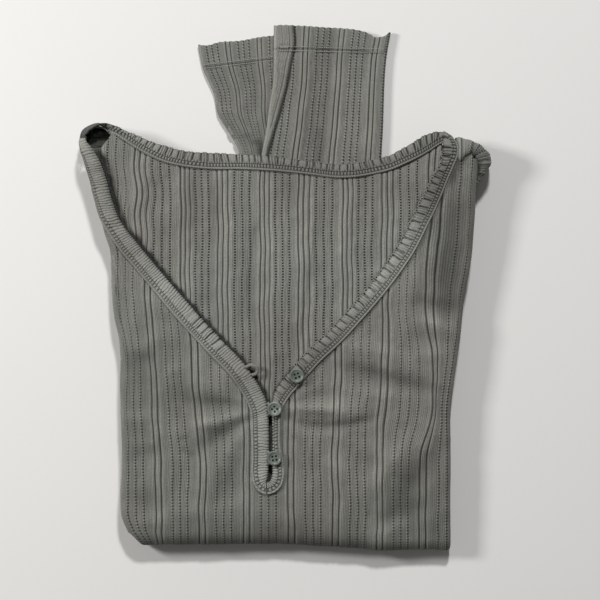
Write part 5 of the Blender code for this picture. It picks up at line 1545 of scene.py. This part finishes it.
def layer_outline(high, recess, web, inset):
    """One ring of the hidden layers, clockwise from the lower left."""
    start = bottom_axis(0.0) + 1.0
    sides = np.linspace(start, SIDE_TOP, SIDE_POINTS)
    loose = 2.0 if web else 0.3 * inset
    key = "high" if high else "low"

    def drawn_in(x, y, inner_x):
        inward = np.array((inner_x - x, INNER_Y - y))
        return np.array((x, y)) + inward / np.linalg.norm(inward) * loose

    def side_row(side, ys):
        edge = through(ys, BODY["y"], BODY[side])
        deep = roll_radius(edge, ys) + TUCK + WEB_GAP if web else inset + SIDE_CLEAR
        return np.stack((edge + (deep if side == "left" else -deep), ys), axis=1)

    left = [drawn_in(x, y, -INNER_X)
            for x, y in zip(LAYERS_LEFT[key + "_x"], LAYERS_LEFT[key + "_y"])]
    back = [(x, y - loose - (MOUTH_DEPTH if recess and MOUTH[0] < x < MOUTH[1] else 0.0))
            for x, y in zip(*LAYERS_BACK.values())]
    right = []
    for x, y, beside in zip(LAYERS_RIGHT[key + "_x"], LAYERS_RIGHT[key + "_y"],
                            LAYERS_RIGHT["beside"]):
        if high and beside:
            right.append(side_row("right", np.array([y]))[0])
        else:
            right.append(drawn_in(x, y, INNER_X))
    points = np.concatenate((side_row("left", sides), left, back, right,
                             side_row("right", sides[::-1])))
    tongue = np.linspace(points[-1, 0] - 6.0, points[0, 0] + 6.0, TONGUE_POINTS)
    return points, np.column_stack((tongue, np.full(TONGUE_POINTS, start)))


def make_layers():
    """The folded sides, sleeves and lower back: one rounded stack, layered at its edges."""
    rings, places = [], []
    for level in np.linspace(0.0, 1.0, LAYER_LEVELS):
        web = WEB_SHARES[0] < abs(level - 0.5) < WEB_SHARES[1]
        depth = level * (BODY_HEIGHT - LOW_FACE - TOP_DEPTH)
        phase = (depth / LAYER_PITCH) % 1.0
        bulge = 1.6 * (1 - math.sqrt(max(1 - (2 * phase - 1) ** 2, 0.0)))
        ends = 2.0 * (step_up(level, 0.85, 1.0) + 1 - step_up(level, 0.0, 0.12))
        body, tongue = layer_outline(level > HIGH_FROM, level < MOUTH_TO, web, bulge + ends)
        ring = np.concatenate((body, tongue))
        top = top_height(ring[:, 0], ring[:, 1])
        z = LOW_FACE + (top - LOW_FACE - TOP_DEPTH) * level
        y = ring[:, 1].copy()
        turned = slice(len(body), None)
        radius = top[turned] / 2 - FRONT_CLOTH - 2 * LAYER_GAP
        drop = np.maximum(radius ** 2 - (z[turned] - top[turned] / 2) ** 2, 0.0)
        y[turned] = bottom_axis(ring[turned, 0]) - np.sqrt(drop)
        ring = np.column_stack((ring[:, 0], y, z))
        ring = np.concatenate((ring, ring[:1]))
        rings.append(ring)
        places.append(np.column_stack((distance_along(ring), np.full(len(ring), z[0]))))
    marks = {"painted_shading": np.full((len(rings), len(rings[0])), LAYER_DARKNESS)}
    piece = lay_grid("layers", np.array(rings), np.array(places), marks, flip=True)
    weld(piece)
    close_ends(piece)
    return piece


# ---------------------------------------------------------------- buttons, loops, stitches
# Section of a button, from the middle of its underside round its rim to its dished face.
BUTTON_FORM = table(
    "radius height",
    (0.0, 0.15), (4.4, 0.15), (5.3, 0.5), (5.85, 1.15), (5.85, 1.5), (5.45, 2.1), (4.9, 2.3),
    (4.35, 2.2), (3.9, 1.75), (3.5, 1.6), (0.0, 1.5),
)
BUTTON_SINK = 1.2               # from a button's place down to the underside of its section
BUTTON_SIDES = 64
THREAD_HOLE = 0.85              # radius of a hole for the thread
THREAD_HOLE_OUT = 1.45          # how far each is from the middle, in x and in y
THREAD_HOLES = [(side_x * THREAD_HOLE_OUT, side_y * THREAD_HOLE_OUT)
                for side_x in (-1, 1) for side_y in (-1, 1)]


def place_button(piece, row):
    """Turn a button as it lies and set it in its place, in its own mesh."""
    x, y = BUTTONS["x"][row], BUTTONS["y"][row]
    lie = top_height(x, y) + BUTTONS["lift"][row] - BUTTON_SINK
    piece.rotation_euler = [math.radians(BUTTONS[key][row])
                            for key in ("tilt_x", "tilt_y", "turn")]
    piece.location = (x * MM, y * MM, lie * MM)
    select_only(piece)
    bpy.ops.object.transform_apply(location=True, rotation=True, scale=True)


def make_button(name, row):
    """A four-hole button, turned from its section."""
    piece = add_shape(bpy.ops.mesh.primitive_plane_add, size=1)
    piece.name = name
    edit_whole(piece, bpy.ops.mesh.delete, type="VERT")
    section = [(out * MM, 0.0, up * MM) for out, up in zip(*BUTTON_FORM.values())]
    piece.data.from_pydata(section, [(k, k + 1) for k in range(len(section) - 1)], [])
    edit_whole(piece, bpy.ops.mesh.spin, steps=BUTTON_SIDES, angle=math.tau, center=(0, 0, 0),
               axis=(0, 0, 1))
    weld(piece, 0.01)
    edit_whole(piece, bpy.ops.mesh.normals_make_consistent, inside=False)
    for x, y in THREAD_HOLES:
        drill = add_shape(bpy.ops.mesh.primitive_cylinder_add, vertices=20, depth=8 * MM,
                          radius=THREAD_HOLE * MM, location=(x * MM, y * MM, MM))
        cut = piece.modifiers.new("hole", "BOOLEAN")
        cut.operation = "DIFFERENCE"
        cut.solver = "EXACT"
        cut.object = drill
        select_only(piece)
        bpy.ops.object.modifier_apply(modifier=cut.name)
        bpy.data.objects.remove(drill)
    place_button(piece, row)
    return piece


LOOP_CORD = 1.3                 # radius of a loop's cord
LOOP_SIDES = 12
LOOP_POINTS = 60
LOOP_TWIST = 1.6                # turn of its strands for each millimetre
STRANDS = 3
STRAND_RISE = 0.13              # share of the radius


def make_loop(name, rows):
    """A button loop: a closed cord over the front, with the strands of its yarn in relief."""
    line = smooth_rail(list(rows.values()), LOOP_POINTS)
    line[:, 2] += front_height(line[:, 0], line[:, 1])
    ahead = direction(line)
    aside = np.cross(ahead, (0.0, 0.0, 1.0))
    aside /= np.linalg.norm(aside, axis=1)[:, None]
    upward = np.cross(aside, ahead)
    steps = distance_along(line)[:, None]
    turns = np.linspace(0, math.tau, LOOP_SIDES + 1)[None, :]
    swell = 1 + STRAND_RISE * np.cos(STRANDS * (turns + LOOP_TWIST * steps))
    reach = LOOP_CORD * swell
    points = (line[:, None, :] + aside[:, None, :] * (np.cos(turns) * reach)[:, :, None]
              + upward[:, None, :] * (np.sin(turns) * reach)[:, :, None])
    uv = np.stack(np.broadcast_arrays(turns * LOOP_CORD, steps), axis=2)
    # Painted shade between the strands of the cord, and painted light on their crowns.
    painted_shading = np.clip(0.12 - 3.4 * (swell - 1.0), -0.15, 0.7)
    piece = lay_grid(name, points, uv, {"painted_shading": painted_shading}, flip=True)
    weld(piece, 0.002)
    close_ends(piece)
    return piece


def strew(name, model, places):
    """One mesh with a copy of a small model at each place: middle and turn from +X."""
    count = len(model.data.vertices)
    shape = np.empty(count * 3)
    model.data.vertices.foreach_get("co", shape)
    shape = shape.reshape(-1, 3)
    faces = [tuple(polygon.vertices) for polygon in model.data.polygons]
    corners, polygons = [], []
    for number, (x, y, z, turn) in enumerate(places):
        cosine, sine = math.cos(turn), math.sin(turn)
        turned = np.column_stack((shape[:, 0] * cosine - shape[:, 1] * sine,
                                  shape[:, 0] * sine + shape[:, 1] * cosine, shape[:, 2]))
        corners.append(turned + np.array((x, y, z)) * MM)
        polygons += [tuple(corner + number * count for corner in face) for face in faces]
    mesh = bpy.data.meshes.new(name)
    mesh.from_pydata(np.concatenate(corners).tolist(), [], polygons)
    piece = bpy.data.objects.new(name, mesh)
    bpy.context.collection.objects.link(piece)
    bpy.data.objects.remove(model)
    return piece


def stretched(piece, *size):
    """Scale a small model to its size in millimetres."""
    piece.scale = [part * MM for part in size]
    bpy.ops.object.transform_apply(location=True, rotation=True, scale=True)
    return piece


def ring_model(length, width, thick):
    """One small loop of yarn, flat and longer than wide."""
    ring = add_shape(bpy.ops.mesh.primitive_torus_add, major_segments=12, minor_segments=5,
                     major_radius=0.5, minor_radius=0.5 * thick / width)
    return stretched(ring, length, width, width)


def stitch_model(length, thick):
    """One stitch: a short thread, domed and pulled in at its ends."""
    stitch = add_shape(bpy.ops.mesh.primitive_uv_sphere_add, segments=8, ring_count=6, radius=0.5)
    return stretched(stitch, length, thick, thick)


YARN_LOOP = (2.6, 1.9, 0.85)    # length, width and thickness of a loop of yarn
EDGE_POINTS = 2000


def edge_loops(name, rows, low, high, step, side):
    """Small loops of yarn past a band's free edge, from y `low` to y `high`."""
    line = smooth_rail([rows["free_x"], rows["free_y"]], EDGE_POINTS)
    ahead = direction(line)
    along = distance_along(line)
    places = []
    for number, at in enumerate(np.arange(step, along[-1], step)):
        place = int(np.searchsorted(along, at + 0.5 * math.sin(2.7 * number)))
        if place >= len(line) or not low < line[place, 1] < high:
            continue
        off = side * (0.5 + 0.35 * math.sin(1.9 * number))
        x = line[place, 0] - ahead[place, 1] * off
        y = line[place, 1] + ahead[place, 0] * off
        z = float(back_height(np.array(x), np.array(y))) + 1.0 + 0.3 * math.sin(3.3 * number)
        turn = math.atan2(ahead[place, 1], ahead[place, 0]) + 0.5 * math.sin(2.3 * number)
        places.append((x, y, z, turn))
    return strew(name, ring_model(*YARN_LOOP), places)


STITCH = (1.9, 0.8)             # length and thickness
STITCH_STEP = 1.7
STITCH_SLANT = 0.35
STITCH_ROWS = (-0.9, 1.8)       # how far each row is from the turned hem's depth
CUFF_SPAN = 16.5                # from the hem's edge to the next station of a cuff
STITCH_LIFT = 0.5               # of the stitches' middle, over the sleeve
STITCH_MARGIN = 2.5
FOLD_LIFT = 2.1                 # how much higher the stitches lie on the seam's fold
FOLD_WIDTH = 15.0

# Stitches of the tack that holds the fold: place, and turn from +X.
FOLD_TACK = [(x, 189.6 + 0.5 * math.sin(5.1 * x), 16.3, math.pi / 2)
             for x in np.arange(-3.2, 3.0, 0.6)]


def hem_stitches(name, rows, fold=0.0, tack=()):
    """The cover stitch round a cuff: two rows over the turned hem, higher on the seam's fold.

    A tack of short stitches side by side holds the fold down at the hem.
    """
    places = list(tack)
    left = np.array((rows["left_x"][:2], rows["left_y"][:2]))
    right = np.array((rows["right_x"][:2], rows["right_y"][:2]))
    drop = HEM_DEPTH / np.hypot(*(left[:, 1] - left[:, 0]))
    base = (rows["left_base"][0], rows["right_base"][0])
    for above in STITCH_ROWS:
        down = drop - above / CUFF_SPAN
        start = left[:, 0] + (left[:, 1] - left[:, 0]) * down
        end = right[:, 0] + (right[:, 1] - right[:, 0]) * down
        width = np.linalg.norm(end - start)
        turn = math.atan2(end[1] - start[1], end[0] - start[0])
        for share in np.arange(STITCH_MARGIN, width - STITCH_MARGIN, STITCH_STEP) / width:
            x, y = start + (end - start) * share
            fall = np.interp(share, *SLEEVE_FALL)
            z = base[0] + (base[1] - base[0]) * fall + SLEEVE_THICKNESS + STITCH_LIFT
            if share * width < fold:
                z = z + FOLD_LIFT
            places.append((x, y, z, turn + STITCH_SLANT))
    return strew(name, stitch_model(*STITCH), places)


# ---------------------------------------------------------------- stage
# The camera and the lights stay in metres.
CAMERA_HEIGHT = 2.60
FRAME_WIDTH = 0.468             # what the camera sees across, at the top of the stack
AIM = (0.0121, -0.0082)         # the place that it looks straight down on
SENSOR = 36.0
TABLE_SIZE = 12.0
TABLE_BELOW = 0.0002            # gap between the shirt and the table top

# Each light: place, edge length, power and colour. Both face the middle of the table.
LIGHTS = {
    "window": ((-1.394, 0.451, 1.045), 0.36, 21.0, (1.0, 0.995, 0.98)),
    "second_window": ((0.28, 2.10, 2.38), 0.30, 66.0, (0.995, 0.998, 1.0)),
}
SKY_COLOUR = (1.0, 0.995, 0.985, 1.0)
SKY_STRENGTH = 0.14


def make_stage():
    """The table top, the light of the room and the windows."""
    floor = add_shape(bpy.ops.mesh.primitive_plane_add, size=TABLE_SIZE,
                      location=(0, 0, -TABLE_BELOW))
    floor.name = "table_top"
    bpy.ops.object.transform_apply(location=True)
    floor.data.materials.append(table_paint())
    world = bpy.data.worlds.new("studio")
    bpy.context.scene.world = world
    world.use_nodes = True
    background = world.node_tree.nodes["Background"]
    background.inputs["Color"].default_value = SKY_COLOUR
    background.inputs["Strength"].default_value = SKY_STRENGTH
    for name, light in LIGHTS.items():
        add_light(name, *light)
    add_camera()


def add_camera():
    """A camera straight above the shirt."""
    camera = bpy.data.cameras.new("camera")
    camera.sensor_width = SENSOR
    reach = CAMERA_HEIGHT - BODY_HEIGHT * MM
    camera.lens = SENSOR / 2 / (FRAME_WIDTH / 2 / reach)
    eye = bpy.data.objects.new("camera", camera)
    eye.location = (*AIM, CAMERA_HEIGHT)
    bpy.context.collection.objects.link(eye)
    bpy.context.scene.camera = eye
    bpy.context.scene.view_settings.view_transform = "Standard"


def add_light(name, place, size, power, colour):
    """A square lamp that faces the middle of the table."""
    lamp = bpy.data.lights.new(name, "AREA")
    lamp.shape = "SQUARE"
    lamp.size = size
    lamp.energy = power
    lamp.color = colour
    light = bpy.data.objects.new(name, lamp)
    light.location = place
    light.rotation_euler = Vector(place).to_track_quat("Z", "Y").to_euler()
    bpy.context.collection.objects.link(light)


# ---------------------------------------------------------------- the shirt
FRONT_GROOVES = (4.6,)          # where a repeat's other grooves are, from its first
BACK_GROOVES = (3.9, 8.0)


def main():
    """Set the stage, then make each piece, give it its cloth and tie it to the part."""
    make_stage()
    front_knit = knit("front_knit", FIRST_RIB, RIB_REPEAT, FRONT_GROOVES, OUTSIDE, GREY_GREEN)
    back_knit = knit("back_knit_inside", FIRST_BACK_RIB, BACK_RIB_REPEAT, BACK_GROOVES, INSIDE,
                     INSIDE_GREEN)
    sleeve_knit = knit("sleeve_knit", 0.0, RIB_REPEAT, FRONT_GROOVES, OUTSIDE, SLEEVE_GREEN)
    trim = trim_cloth()
    plastic = button_plastic()
    sewing = thread("sewing_thread", SEWING_GREY)
    edge_yarn = thread("edge_yarn", YARN_GREY)
    shaded_yarn = thread("shaded_yarn", SHADED_GREY)

    front = finish_piece(make_front(), front_knit, ["front_panel"], angle=60)
    back = finish_piece(make_back(), back_knit, ["back_panel"])
    left = make_front_band("band_left", BAND_LEFT, LEFT_LOBES, LEFT_DIMMED, up=1.0, scallop=6.0,
                           flip=False, ending=14.0)
    band_left = finish_piece(left, trim, ["neck_band_left"])
    right = make_front_band("band_right", BAND_RIGHT, RIGHT_LOBES, RIGHT_DIMMED, up=-1.0,
                            scallop=6.4, flip=True)
    band_right = finish_piece(right, trim, ["neck_band_right"])
    band_back = finish_piece(make_back_band(), trim, ["neck_band_back"])
    head_left = finish_piece(make_head("head_left", HEAD_LEFT, overlap=False), sleeve_knit,
                             ["sleeve_left_head"])
    head_right = finish_piece(make_head("head_right", HEAD_RIGHT, overlap=True), sleeve_knit,
                              ["sleeve_right_head"])
    left = make_sleeve("sleeve_left_end", SLEEVE_LEFT, EDGE_LEFT, seam_fold=False)
    sleeve_left = finish_piece(left, sleeve_knit, ["sleeve_left"])
    right = make_sleeve("sleeve_right_end", SLEEVE_RIGHT, EDGE_RIGHT, seam_fold=True)
    sleeve_right = finish_piece(right, sleeve_knit, ["sleeve_right"])
    finish_piece(make_layers(), front_knit, ["folded_layers"])
    for row, rows in enumerate((LOOP_1, LOOP_2, LOOP_3)):
        finish_piece(make_button(f"button_face_{row + 1}", row), plastic,
                     [f"button_{row + 1}"], angle=35)
        finish_piece(make_loop(f"loop_cord_{row + 1}", rows), trim, [f"loop_{row + 1}"])
    finish_piece(hem_stitches("hem_stitches_left", SLEEVE_LEFT), sewing, [])
    hem_right = hem_stitches("hem_stitches_right", SLEEVE_RIGHT, FOLD_WIDTH, FOLD_TACK)
    finish_piece(hem_right, sewing, [])
    # The left band's loops get the yarn in painted shade, the right band's the plain yarn.
    left = edge_loops("edge_loops_left", BAND_LEFT, low=-84.0, high=108.0, step=2.3, side=-1.0)
    finish_piece(left, shaded_yarn, [])
    right = edge_loops("edge_loops_right", BAND_RIGHT, low=-60.0, high=108.0, step=3.1, side=1.0)
    finish_piece(right, edge_yarn, [])


main()
